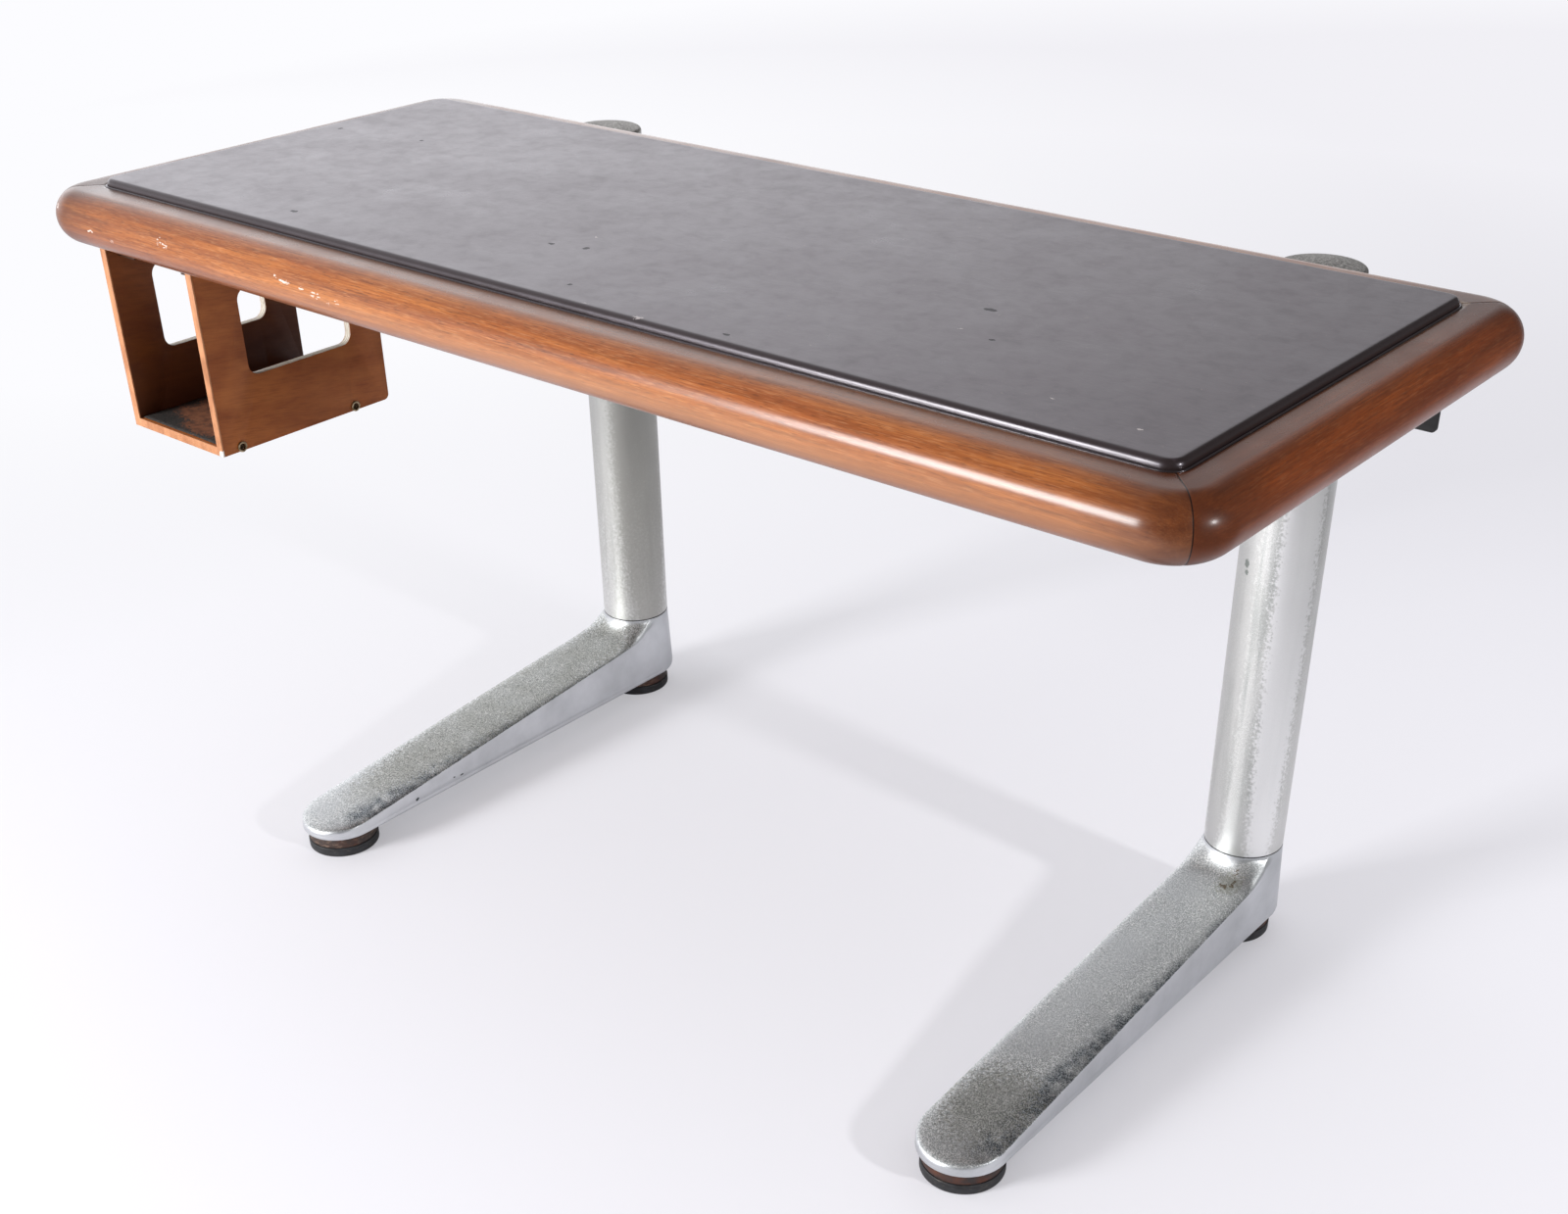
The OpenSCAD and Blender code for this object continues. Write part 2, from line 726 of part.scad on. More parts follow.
module left_outrigger() {
    stretcher(-stretcher_end_x, -column_x - arm_width / 2, true, false);
}
module right_outrigger() {
    stretcher(column_x + arm_width / 2, stretcher_end_x, false, true);
}
module stretcher_screws() {
    color("silver") at_stretcher_screws() pan_screw(0);
}

// Side view of a rack side with its window
module side_outline() {
    difference() {
        union() {
            translate([panel_y, rack_base + side_radius]) square([side_depth, rack_height - side_radius]);
            translate([panel_y, rack_base]) square([side_depth - side_radius, rack_height]);
            translate([panel_y + side_depth - side_radius, rack_base + side_radius]) circle(side_radius);
        }
        translate([rack_y + window_front + window_width / 2, rack_base + window_sill + window_height / 2])
            round_rectangle(window_width, window_height, window_radius);
    }
}

// The child at the four floor screws of the rack, with its head on the outside of the sides
module at_floor_screws() {
    level = rack_base + rack_wall / 2;
    for (y = floor_screws_y) {
        translate([rack_x, y, level]) rotate([0, 90, 0]) children();
        translate([rack_x + rack_width, y, level]) rotate([0, -90, 0]) children();
    }
}

// The child at the four screws through the sides into the cleats
module at_side_screws() {
    level = underside - cleat_height / 2;
    for (y = cleat_screws_y) {
        translate([rack_x, y + screw_margin / 2, level]) rotate([0, 90, 0]) children();
        translate([rack_x + rack_width, y + screw_margin / 2, level]) rotate([0, -90, 0]) children();
    }
}

module rack_side(x) {
    color("sienna") difference() {
        translate([x, 0, 0]) rotate([90, 0, 90]) linear_extrude(rack_wall) side_outline();
        at_floor_screws() flat_screw(screw_clearance);
        at_side_screws() flat_screw(screw_clearance);
    }
}
module rack_left_side() { rack_side(rack_x); }
module rack_right_side() { rack_side(rack_right_x); }
module rack_bottom() {
    color("sienna") difference() {
        translate([rack_x + rack_wall, panel_y, rack_base])
            cube([rack_width - 2 * rack_wall, side_depth, rack_wall]);
        at_floor_screws() flat_screw(screw_clearance);
    }
}
module rack_lipping() {
    color("peru") {
        for (x = [rack_x, rack_right_x])
            translate([x, rack_y, rack_base]) cube([rack_wall, lipping_thickness, rack_height]);
        translate([rack_x + rack_wall, rack_y, rack_base])
            cube([rack_width - 2 * rack_wall, lipping_thickness, rack_wall]);
    }
}
module rack_lining() {
    color("#2b2725")
        translate([rack_x + rack_wall + lining_gap, panel_y + lining_gap, rack_base + rack_wall])
            cube([rack_width - 2 * (rack_wall + lining_gap), side_depth - 2 * lining_gap,
                  lining_thickness]);
}
module rack_cleats() {
    color("burlywood") difference() {
        for (x = cleats_x) translate([x, rack_y + cleat_setback, underside - cleat_height])
            cube([cleat_width, cleat_length, cleat_height]);
        at_hanging_screws() flat_screw(screw_clearance);
        at_side_screws() flat_screw(screw_clearance);
    }
}
module rack_hanging_screws() {
    color("goldenrod") at_hanging_screws() flat_screw(0);
}
module rack_side_screws() {
    color("goldenrod") at_side_screws() flat_screw(0);
}
module rack_floor_screws() {
    color("goldenrod") at_floor_screws() flat_screw(0);
}

// Brass cup washers round the heads of the floor screws
module rack_screw_cups() {
    color("goldenrod") at_floor_screws() translate([0, 0, -cup_height]) difference() {
        cylinder(r = cup_diameter / 2, h = cup_height);
        translate([0, 0, -past])
            cylinder(r = small_head_diameter / 2 + screw_clearance, h = cup_height + 2 * past);
    }
}

leather_skin();
pad_board();
edge_welt();
top_core();
underside_panel();
front_rail();
rear_rail();
left_rail();
right_rail();
mitre_splines();
left_column();
right_column();
left_column_cap();
right_column_cap();
left_foot();
right_foot();
glide_inserts();
left_tie_rod();
right_tie_rod();
tie_rod_washers();
tie_rod_nuts();
left_arm();
right_arm();
center_stretcher();
left_outrigger();
right_outrigger();
arm_screws();
stretcher_screws();
rack_left_side();
rack_right_side();
rack_bottom();
rack_lipping();
rack_lining();
rack_cleats();
rack_hanging_screws();
rack_side_screws();
rack_floor_screws();
rack_screw_cups();
front_left_sole();
front_left_disc();
front_left_stud();
front_right_sole();
front_right_disc();
front_right_stud();
rear_left_sole();
rear_left_disc();
rear_left_stud();
rear_right_sole();
rear_right_disc();
rear_right_stud();
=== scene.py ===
import math

import bmesh
import bpy
from mathutils import Matrix, Vector


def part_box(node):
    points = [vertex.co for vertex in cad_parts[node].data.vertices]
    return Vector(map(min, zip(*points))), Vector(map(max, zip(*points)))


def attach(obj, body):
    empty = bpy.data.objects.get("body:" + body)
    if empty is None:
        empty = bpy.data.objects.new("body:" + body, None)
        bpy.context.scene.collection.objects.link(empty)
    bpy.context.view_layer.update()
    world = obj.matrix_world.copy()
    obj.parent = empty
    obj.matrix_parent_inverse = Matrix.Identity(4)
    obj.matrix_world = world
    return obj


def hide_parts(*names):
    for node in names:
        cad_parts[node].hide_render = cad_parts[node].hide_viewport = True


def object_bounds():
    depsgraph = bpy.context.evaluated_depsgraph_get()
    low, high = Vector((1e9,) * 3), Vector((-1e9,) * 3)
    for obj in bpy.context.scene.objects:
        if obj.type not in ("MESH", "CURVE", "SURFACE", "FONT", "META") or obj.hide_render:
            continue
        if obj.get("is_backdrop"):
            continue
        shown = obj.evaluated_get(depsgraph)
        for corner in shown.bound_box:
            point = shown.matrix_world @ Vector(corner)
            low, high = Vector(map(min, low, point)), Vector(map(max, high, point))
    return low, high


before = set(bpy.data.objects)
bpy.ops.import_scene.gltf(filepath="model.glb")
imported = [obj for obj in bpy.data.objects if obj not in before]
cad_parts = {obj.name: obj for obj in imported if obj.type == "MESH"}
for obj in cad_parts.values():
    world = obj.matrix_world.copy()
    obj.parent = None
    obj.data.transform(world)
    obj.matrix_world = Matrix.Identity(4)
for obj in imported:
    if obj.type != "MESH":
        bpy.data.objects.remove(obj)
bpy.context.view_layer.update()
MM = 0.001


# Camera
# It stands at the right of the sitter's place, at head height, and looks down at the desk from the front right
# corner. The picture is the upper part of what its lens sees, which is what the shift says.
photo_width = 1600
photo_height = 1239
focal_pixels = 1961.9
optical_centre_row = 867
camera_place = Vector((1.1816, -1.3323, 1.2146))
camera_turn = math.radians(40.634)
camera_tilt = math.radians(33.221)
camera_roll = math.radians(-1.091)

camera_data = bpy.data.cameras.new("camera")
camera_data.sensor_width = 36
camera_data.lens = camera_data.sensor_width * focal_pixels / photo_width
camera_data.shift_y = (optical_centre_row - photo_height / 2) / photo_width
camera = bpy.data.objects.new("camera", camera_data)
look = (Matrix.Rotation(camera_turn, 4, "Z") @ Matrix.Rotation(math.pi / 2 - camera_tilt, 4, "X")
        @ Matrix.Rotation(camera_roll, 4, "Z"))
camera.matrix_world = Matrix.Translation(camera_place) @ look
bpy.context.scene.collection.objects.link(camera)
bpy.context.scene.camera = camera


# Studio
# A seamless pale floor that runs out into white, soft surroundings that are brightest at the left and rear and
# dimmer at the front right, a soft lamp at the front left and a smaller one at the right. Places are in metres.
floor_reach = 30
floor_colour = "#F1F0F5"
studio_white = "#FCFCFF"
fade_middle, fade_span = (1.0, 2.0, 0), (3.9, 5.2)
glow_middle, glow_span = (-3.0, 1.2, 0), (1.2, 3.05)
evened_span, evened_least = (1.4, 3.6), 0.24
paper_ends = (0.8, 1.5)
bright_side = (math.cos(math.radians(165)), math.sin(math.radians(165)), 0)
mirrored_span, mirrored_light = (0.32, 1.0), (0.14, 2.05)
dimming_span, dimmed_above = (0.22, 0.36), 0.78
diffuse_span, diffuse_light = (-0.8, 0.8), (0.38, 0.97)
lamps = {
    "front_left_lamp": {"place": (-1.65, -3.86, 1.46), "aim": (0.45, -0.31, 0.7), "size": 1.25, "power": 192},
    "right_lamp": {"place": (3.95, 0.08, 1.84), "aim": (0.65, -0.29, 0.7), "size": 0.25, "power": 60},
}


def srgb(code):
    """Linear colour of an sRGB hex value."""
    parts = [int(code[i:i + 2], 16) / 255 for i in (1, 3, 5)]
    return tuple(c / 12.92 if c <= 0.04045 else ((c + 0.055) / 1.055) ** 2.4 for c in parts) + (1.0,)


def add(tree, kind, *values, out=0, **settings):
    """Adds a node with its settings and links, and gives the output called out.

    Values go to the sockets in order, or come as a dict by the sockets' names or numbers, where None leaves a socket
    alone. A hex code is a colour, and a kind without Node in its name is a shader node.
    """
    made = tree.nodes.new(kind if "Node" in kind else "ShaderNode" + kind)
    for name, value in settings.items():
        setattr(made, name, value)
    for name, value in (values[0] if values and isinstance(values[0], dict) else dict(enumerate(values))).items():
        if isinstance(value, bpy.types.NodeSocket):
            tree.links.new(value, made.inputs[name])
        elif value is not None:
            is_colour = isinstance(value, str) and value.startswith("#")
            made.inputs[name].default_value = srgb(value) if is_colour else value
    return made.outputs[out] if len(made.outputs) else made


def material(name, colour, roughness, metallic=0.0, **constants):
    """A new material, its tree and its object coordinates; constants are set on the shader itself."""
    made = bpy.data.materials.new(name)
    made.use_nodes = True
    tree = made.node_tree
    constants = {"Base_Color": srgb(colour), "Roughness": roughness, "Metallic": metallic, **constants}
    for socket, value in constants.items():
        tree.nodes["Principled BSDF"].inputs[socket.replace("_", " ")].default_value = value
    return made, tree, add(tree, "TexCoord", out="Object")


def studio_paper():
    """Matt white paper: even and shadowless far away, glowing behind the left end, and fading to white all round.

    Mirror rays pass through its right end and see the dimmer surroundings there.
    """
    made, tree, place = material("matt_white_studio_floor", floor_colour, 0.85, Specular_IOR_Level=0.2)
    paper = tree.nodes["Principled BSDF"].outputs[0]
    rays = add(tree, "LightPath").node.outputs
    fade = add(tree, "VectorMath", place, fade_middle, out="Value", operation="DISTANCE")
    fade = add(tree, "MapRange", fade, *fade_span)
    glow = add(tree, "VectorMath", place, glow_middle, out="Value", operation="DISTANCE")
    glow = add(tree, "MapRange", glow, *glow_span, 1.0, 0.0)
    glow = add(tree, "Math", glow, rays["Is Camera Ray"], operation="MULTIPLY")
    whiter = add(tree, "Math", glow, fade, operation="MAXIMUM")
    far = add(tree, "VectorMath", place, out="Value", operation="LENGTH")
    evened = add(tree, "MapRange", far, *evened_span, evened_least, 1.0)
    evened = add(tree, "Math", rays["Is Camera Ray"], evened, operation="MULTIPLY")
    soft = add(tree, "MixShader", evened, paper, add(tree, "Emission", floor_colour, 1.0))
    lit = add(tree, "MixShader", whiter, soft, add(tree, "Emission", studio_white, 1.0))
    end = add(tree, "MapRange", add(tree, "SeparateXYZ", place, out="X"), *paper_ends)
    end = add(tree, "Math", end, rays["Is Glossy Ray"], operation="MULTIPLY")
    ended = add(tree, "MixShader", end, lit, add(tree, "BsdfTransparent"))
    tree.links.new(ended, tree.nodes["Material Output"].inputs["Surface"])
    return made


floor_corners = [(x * floor_reach, y * floor_reach, 0) for x, y in ((-1, -1), (1, -1), (1, 1), (-1, 1))]
floor_mesh = bpy.data.meshes.new("studio_floor")
floor_mesh.from_pydata(floor_corners, [], [(0, 1, 2, 3)])
floor_mesh.materials.append(studio_paper())
floor = bpy.data.objects.new("studio_floor", floor_mesh)
bpy.context.scene.collection.objects.link(floor)
floor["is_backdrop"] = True

world = bpy.data.worlds.new("white_studio")
bpy.context.scene.world = world
world.use_nodes = True
sky = world.node_tree
facing = add(sky, "TexCoord", out="Generated")
side = add(sky, "VectorMath", facing, bright_side, out="Value", operation="DOT_PRODUCT")
mirrored = add(sky, "MapRange", side, *mirrored_span, *mirrored_light)
dimming = add(sky, "MapRange", add(sky, "SeparateXYZ", facing, out="Z"), *dimming_span, 1.0, dimmed_above)
mirrored = add(sky, "Math", mirrored, dimming, operation="MULTIPLY")
spread = add(sky, "MapRange", side, *diffuse_span, *diffuse_light)
rays = add(sky, "LightPath").node.outputs
soft = add(sky, "Mix", {0: rays["Is Glossy Ray"], 2: spread, 3: mirrored})
clear = add(sky, "Math", rays["Is Camera Ray"], rays["Is Transmission Ray"], operation="MAXIMUM")
sky.nodes["Background"].inputs["Color"].default_value = srgb(studio_white)
sky.links.new(add(sky, "Mix", {0: clear, 2: soft, 3: 1.0}), sky.nodes["Background"].inputs["Strength"])

for lamp_name, lamp in lamps.items():
    light = bpy.data.lights.new(lamp_name, "AREA")
    light.shape = "RECTANGLE"
    light.size = light.size_y = lamp["size"]
    light.energy = lamp["power"]
    light_object = bpy.data.objects.new(lamp_name, light)
    light_object.location = lamp["place"]
    light_object.rotation_euler = (Vector(lamp["aim"]) - Vector(lamp["place"])).to_track_quat("-Z", "Y").to_euler()
    bpy.context.scene.collection.objects.link(light_object)

bpy.context.scene.view_settings.view_transform = "Standard"


# Glides
# Four levelling glides: a turned disc of reddish-brown fibre on a black moulded rubber sole, with a zinc-plated
# stud that screws into the foot. They carry the desk and stand a little in from the edge of each foot.
GLIDES = ("front_left", "front_right", "rear_left", "rear_right")
LATHE_STEPS = 72
sole_edge, sole_shoulder = 1.8, 1.2
sole_recess = 0.8
sole_groove = 0.35
disc_edge, disc_shoulder = 1.5, 1.0


def middle(node):
    """Centre of a CAD node, in millimetres."""
    low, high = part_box(node)
    return (low + high) / 2 / MM


def corners_of(node):
    """Lower and upper corner of a CAD node's box, in millimetres."""
    return tuple(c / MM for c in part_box(node))


def top_of(node):
    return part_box(node)[1].z / MM


def bottom_of(node):
    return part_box(node)[0].z / MM


def half_width(node):
    return (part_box(node)[1].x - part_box(node)[0].x) / 2 / MM


def loose_object(name, points, faces):
    """An object from points in millimetres and faces."""
    mesh = bpy.data.meshes.new(name)
    mesh.from_pydata([tuple(c * MM for c in p) for p in points], [], faces)
    made = bpy.data.objects.new(name, mesh)
    bpy.context.scene.collection.objects.link(made)
    return made


def smoothed(made, sharp_over):
    """Smooth shading but for edges sharper than sharp_over degrees."""
    made.data.shade_smooth()
    made.data.set_sharp_from_angle(angle=math.radians(sharp_over))


def belongs(made, body, nodes=()):
    """Ties a finished piece to its body and the CAD nodes that it stands for."""
    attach(made, body)
    if nodes:
        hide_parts(*nodes)
    return made


def piece(name, points, faces, finish, body, slot, nodes=(), sharp_over=40):
    """A finished piece from points in millimetres and faces."""
    made = loose_object(name, points, faces)
    smoothed(made, sharp_over)
    made.data.materials.append(finish)
    return belongs(made, body, nodes)


def turned(profile, centre, steps=LATHE_STEPS):
    """Points and faces of a solid turned about a vertical axis; profile is a line of (radius, z)."""
    points, faces, rings = [], [], []
    for radius, z in profile:
        if radius == 0:
            rings.append([len(points)] * steps)
            points.append((centre[0], centre[1], z))
        else:
            rings.append(list(range(len(points), len(points) + steps)))
            points += [(centre[0] + radius * math.cos(2 * math.pi * i / steps),
                        centre[1] + radius * math.sin(2 * math.pi * i / steps), z) for i in range(steps)]
    for below, above in zip(rings, rings[1:]):
        for i in range(steps):
            j = (i + 1) % steps
            faces.append(tuple(dict.fromkeys([below[i], below[j], above[j], above[i]])))
    return points, faces


def arc(centre, radius, start, end, steps):
    """Points on an arc, angles in degrees, both ends included."""
    return [(centre[0] + radius * math.cos(math.radians(start + (end - start) * i / steps)),
             centre[1] + radius * math.sin(math.radians(start + (end - start) * i / steps)))
            for i in range(steps + 1)]


def patches(tree, place, size_mm, *span, detail=4.0, roughness=0.55, stretch=(1, 1, 1), distortion=0.0):
    """Irregular patches about size_mm across, and longer along an axis by stretch.

    Gives their noise as it is, or brought from the span's first two numbers to its last two, else to 0 and 1.
    """
    longer = add(tree, "Mapping", {"Vector": place, "Scale": tuple(1 / s for s in stretch)})
    cloud = add(tree, "TexNoise", {"Vector": longer, "Scale": 1 / (size_mm * MM), "Detail": detail,
                                   "Roughness": roughness, "Distortion": distortion}, out="Fac")
    return add(tree, "MapRange", cloud, *span) if span else cloud


def product(tree, share, *others):
    """Several shares multiplied."""
    for other in others:
        share = add(tree, "Math", share, other, operation="MULTIPLY")
    return share


def layered(tree, ground, *layers):
    """Colours laid over a ground colour; each layer is its shares, which are multiplied, and its colour."""
    for *shares, colour in layers:
        ground = add(tree, "Mix", {0: product(tree, *shares), 6: ground, 7: colour}, out=2, data_type="RGBA")
    return ground


def dressed(made, *reliefs, **sockets):
    """Links a material's shader to its values and its reliefs, and gives the material.

    A relief is a height, a depth in mm and a strength, and lies over the one before it.
    """
    tree = made.node_tree
    shader = tree.nodes["Principled BSDF"]
    for name, value in sockets.items():
        tree.links.new(value, shader.inputs[name.replace("_", " ")])
    normal = None
    for height, depth_mm, strength in reliefs:
        normal = add(tree, "Bump", {"Height": height, "Distance": depth_mm * MM, "Strength": strength,
                                    "Normal": normal})
    if normal is not None:
        tree.links.new(normal, shader.inputs["Normal"])
    return made


def drift(tree, place, size_mm, reach_mm, detail):
    """A shift to all sides, by up to half of reach_mm, that changes over about size_mm."""
    swirl = add(tree, "TexNoise", {"Vector": place, "Scale": 1 / (size_mm * MM), "Detail": detail}, out="Color")
    swirl = add(tree, "VectorMath", swirl, (0.5, 0.5, 0.5), operation="SUBTRACT")
    return add(tree, "VectorMath", {0: swirl, "Scale": reach_mm * MM}, operation="SCALE")


def marks(tree, place, spots, ragged_mm=1.0):
    """Ragged marks on a surface: 1 on each spot, given as a place and its half sizes in mm, and 0 elsewhere."""
    moved = add(tree, "VectorMath", place, drift(tree, place, 3, 4 * ragged_mm, 2.0))
    total = None
    for where, half in spots:
        off = add(tree, "VectorMath", moved, tuple(c * MM for c in where), operation="SUBTRACT")
        off = add(tree, "VectorMath", off, tuple(1 / (c * MM) for c in half), operation="MULTIPLY")
        off = add(tree, "VectorMath", off, out="Value", operation="LENGTH")
        mark = add(tree, "MapRange", off, 0.75, 1.0, 1, 0)
        total = mark if total is None else add(tree, "Math", total, mark, operation="MAXIMUM")
    return total


def moulded_rubber():
    """Black rubber: nearly matt, greyed by floor dust, with fine scuffs."""
    made, tree, place = material("moulded_black_rubber", "#1B1B1C", 0.7)
    dust = patches(tree, place, 14, 0.45, 0.75)
    scuff = patches(tree, place, 2.2, 0.58, 0.7, stretch=(3, 3, 1))
    return dressed(made, (patches(tree, place, 1.6), 0.12, 1.0),
                   Base_Color=layered(tree, "#1A1A1C", (dust, "#333438"), (scuff, 0.5, "#575049")),
                   Roughness=add(tree, "MapRange", dust, 0, 1, 0.55, 0.85))


def fibre_disc():
    """Pressed reddish-brown fibre: matt, mottled and darkened by handling, and rubbed grey under the left foot."""
    made, tree, place = material("pressed_fibre", "#4A2A1D", 0.75)
    mottle = patches(tree, place, 9, 0.35, 0.68, detail=6)
    darker_share = patches(tree, place, 28, 0.46, 0.62)
    scuff = patches(tree, place, 3.0, 0.5, 0.66, stretch=(2.5, 2.5, 1))
    left_foot = marks(tree, place, [((-443, 0, 15), (60, 400, 20))])
    rubbed = layered(tree, "#332B27", (scuff, "#7C6859"))
    colour = layered(tree, "#33201A", (mottle, "#57301F"), (darker_share, 0.85, "#1D1716"), (left_foot, 0.75, rubbed))
    return dressed(made, (patches(tree, place, 1.3), 0.1, 1.0), Base_Color=colour,
                   Roughness=add(tree, "MapRange", mottle, 0, 1, 0.55, 0.8))


def zinc_plate():
    """Zinc-plated steel: blue-grey and silky, a little dull where it was handled."""
    made, tree, place = material("zinc_plated_steel", "#A9ADB0", 0.35, metallic=1.0)
    dull = patches(tree, place, 6, 0.4, 0.7)
    return dressed(made, Base_Color=layered(tree, "#B4B8BB", (dull, "#85888A")),
                   Roughness=add(tree, "MapRange", dull, 0, 1, 0.28, 0.5))


def coat(nodes, finish):
    """Gives the CAD's own meshes a finish and leaves their shape alone."""
    for node in nodes:
        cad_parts[node].data.materials.clear()
        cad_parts[node].data.materials.append(finish)


rubber = moulded_rubber()
fibre = fibre_disc()
zinc = zinc_plate()

for glide in GLIDES:
    sole, disc = glide + "_sole", glide + "_disc"
    body = glide + "_glide"
    low, high = bottom_of(sole), top_of(sole)
    radius = half_width(sole)
    hub = radius * 0.55
    profile = [(0, low), (hub, low), (hub + 1, low + sole_recess), (radius - 5, low + sole_recess),
               (radius - 4, low), (radius - sole_edge, low)]
    profile += arc((radius - sole_edge, low + sole_edge), sole_edge, -90, 0, 4)[1:]
    profile += [(radius, high - 3.2), (radius - sole_groove, high - 2.9), (radius - sole_groove, high - 2.6),
                (radius, high - 2.3)]
    profile += arc((radius - sole_shoulder, high - sole_shoulder), sole_shoulder, 0, 90, 4) + [(0, high)]
    piece(glide + "_rubber_sole", *turned(profile, middle(sole)), rubber, body, "sole", [sole])

    low, high = bottom_of(disc), top_of(disc)
    radius = half_width(disc)
    profile = [(0, low), (radius - disc_edge, low)]
    profile += arc((radius - disc_edge, low + disc_edge), disc_edge, -90, 0, 4)[1:]
    profile += arc((radius - disc_shoulder, high - disc_shoulder), disc_shoulder, 0, 90, 4) + [(0, high)]
    piece(glide + "_fibre_disc", *turned(profile, middle(disc)), fibre, body, "disc", [disc])

coat([g + "_stud" for g in GLIDES] + ["glide_inserts", "left_tie_rod", "right_tie_rod", "tie_rod_washers",
                                      "tie_rod_nuts"], zinc)


# Feet
# Each foot is one aluminium casting, nickel plated: a long wedge with a softly crowned top that climbs to a round
# neck, which takes the column. Its underside is hollow with cross ribs. The top is pitted by shoes and cleaning
# water, while the drafted sides kept their smooth plate.
foot_base = top_of("rear_left_disc")
seam_height = bottom_of("left_column")
column_radius = half_width("left_column")
column_y = middle("left_column_cap").y
tip_y = middle("front_left_disc").y
foot_half = half_width("left_foot")
foot_middles = {"left": middle("left_column").x, "right": middle("right_column").x}
tip_thickness = 13
wedge_rise = 48
foot_slope = wedge_rise / (column_y - column_radius - tip_y + foot_half)
crown, shoulder = 1.0, 2.4
collar = 1.5
neck_run, neck_drop = 50, 27
neck_squareness = 0.014
neck_foot_slope = 2.5
neck_blend = 6
edge_round, edge_round_at_neck = 3.2, 0.8
base_round, base_round_at_heel = 1.5, 7.0
parting_height = 5.0
tip_steps, side_steps, heel_steps = 24, 44, 36
rows_over = 64
bend_weight = 14
wall, rib, cells, core_draft = 7, 5, 4, 1.5


def wall_half(z):
    """Half width of the drafted foot at a height."""
    share = (z - foot_base) / (seam_height - foot_base)
    return foot_half + (column_radius - foot_half) * share


def neck_height(x, y):
    """Height of the neck's surface: its level sections are round at the collar and ever squarer and longer below."""
    low, high = foot_base, seam_height - collar
    ahead = max(column_y - y, 0)
    for _ in range(34):
        height = (low + high) / 2
        half = wall_half(height)
        drop = seam_height - collar - height
        if y > column_y:
            inside = math.hypot(x, y - column_y) <= half
        else:
            reach = neck_run * (1 - math.sqrt(1 - min(drop / neck_drop, 1) ** 2))
            reach += max(drop - neck_drop, 0) * neck_foot_slope
            power = 2 + neck_squareness * drop ** 2
            inside = (abs(x) / half) ** power + (ahead / (half + reach)) ** power <= 1
        if inside:
            low = height
        else:
            high = height
    return low


def foot_top(x, y):
    """Height of the crowned wedge, flowing into the hollow curve round the neck."""
    across = (math.hypot(x, y - tip_y) if y < tip_y else abs(x)) / foot_half
    wedge = foot_base + tip_thickness + foot_slope * (y - tip_y + foot_half) - crown * across ** 2 \
        - shoulder * across ** 9
    if y < column_y - column_radius - 2.5 * neck_run:
        return wedge
    neck = neck_height(x, y)
    share = min(max(0.5 + 0.5 * (neck - wedge) / neck_blend, 0), 1)
    return min(wedge + (neck - wedge) * share + neck_blend * share * (1 - share) * 0.5, seam_height - collar)


def foot_outline():
    """Spots round the foot: the part of the outline that each lies on, and its angle or its way along the side."""
    length = column_y - tip_y
    along = [length * (1 - (1 - i / side_steps) ** 1.7) for i in range(side_steps + 1)]
    return ([("tip", math.radians(-180 + 180 * i / tip_steps)) for i in range(tip_steps)]
            + [("right", d) for d in along[:-1]]
            + [("heel", math.radians(180 * i / heel_steps)) for i in range(heel_steps)]
            + [("left", d) for d in reversed(along[1:])])


def outline_point(spot, half):
    """Place of an outline spot where the foot is half wide."""
    part, value = spot
    if part in ("left", "right"):
        return half if part == "right" else -half, tip_y + value
    return half * math.cos(value), (tip_y if part == "tip" else column_y) + half * math.sin(value)


def spread_rows(line, count):
    """Count points along a line of points, closer together where it bends."""
    kept = [line[0]]
    for p in line[1:]:
        if math.dist(p, kept[-1]) > 0.02:
            kept.append(p)
    sums = [0.0]
    for i in range(1, len(kept)):
        bend = 0.0
        if i < len(kept) - 1:
            bend = (Vector(kept[i]) - Vector(kept[i - 1])).angle(Vector(kept[i + 1]) - Vector(kept[i]), 0.0)
        sums.append(sums[-1] + math.dist(kept[i], kept[i - 1]) + bend_weight * bend)
    spread = []
    k = 1
    for i in range(count):
        aim = sums[-1] * i / (count - 1)
        while k < len(sums) - 1 and sums[k] < aim:
            k += 1
        share = min(max((aim - sums[k - 1]) / max(sums[k] - sums[k - 1], 1e-9), 0), 1)
        spread.append(tuple(a + (b - a) * share for a, b in zip(kept[k - 1], kept[k])))
    return spread


def net(rows, size, rows_close=False, size_closes=True):
    """Faces of a net of points, row after row, that may close on itself from row to row and along its rows."""
    faces = []
    for r in range(rows if rows_close else rows - 1):
        s = (r + 1) % rows
        for k in range(size if size_closes else size - 1):
            m = (k + 1) % size
            faces.append((r * size + k, r * size + m, s * size + m, s * size + k))
    return faces


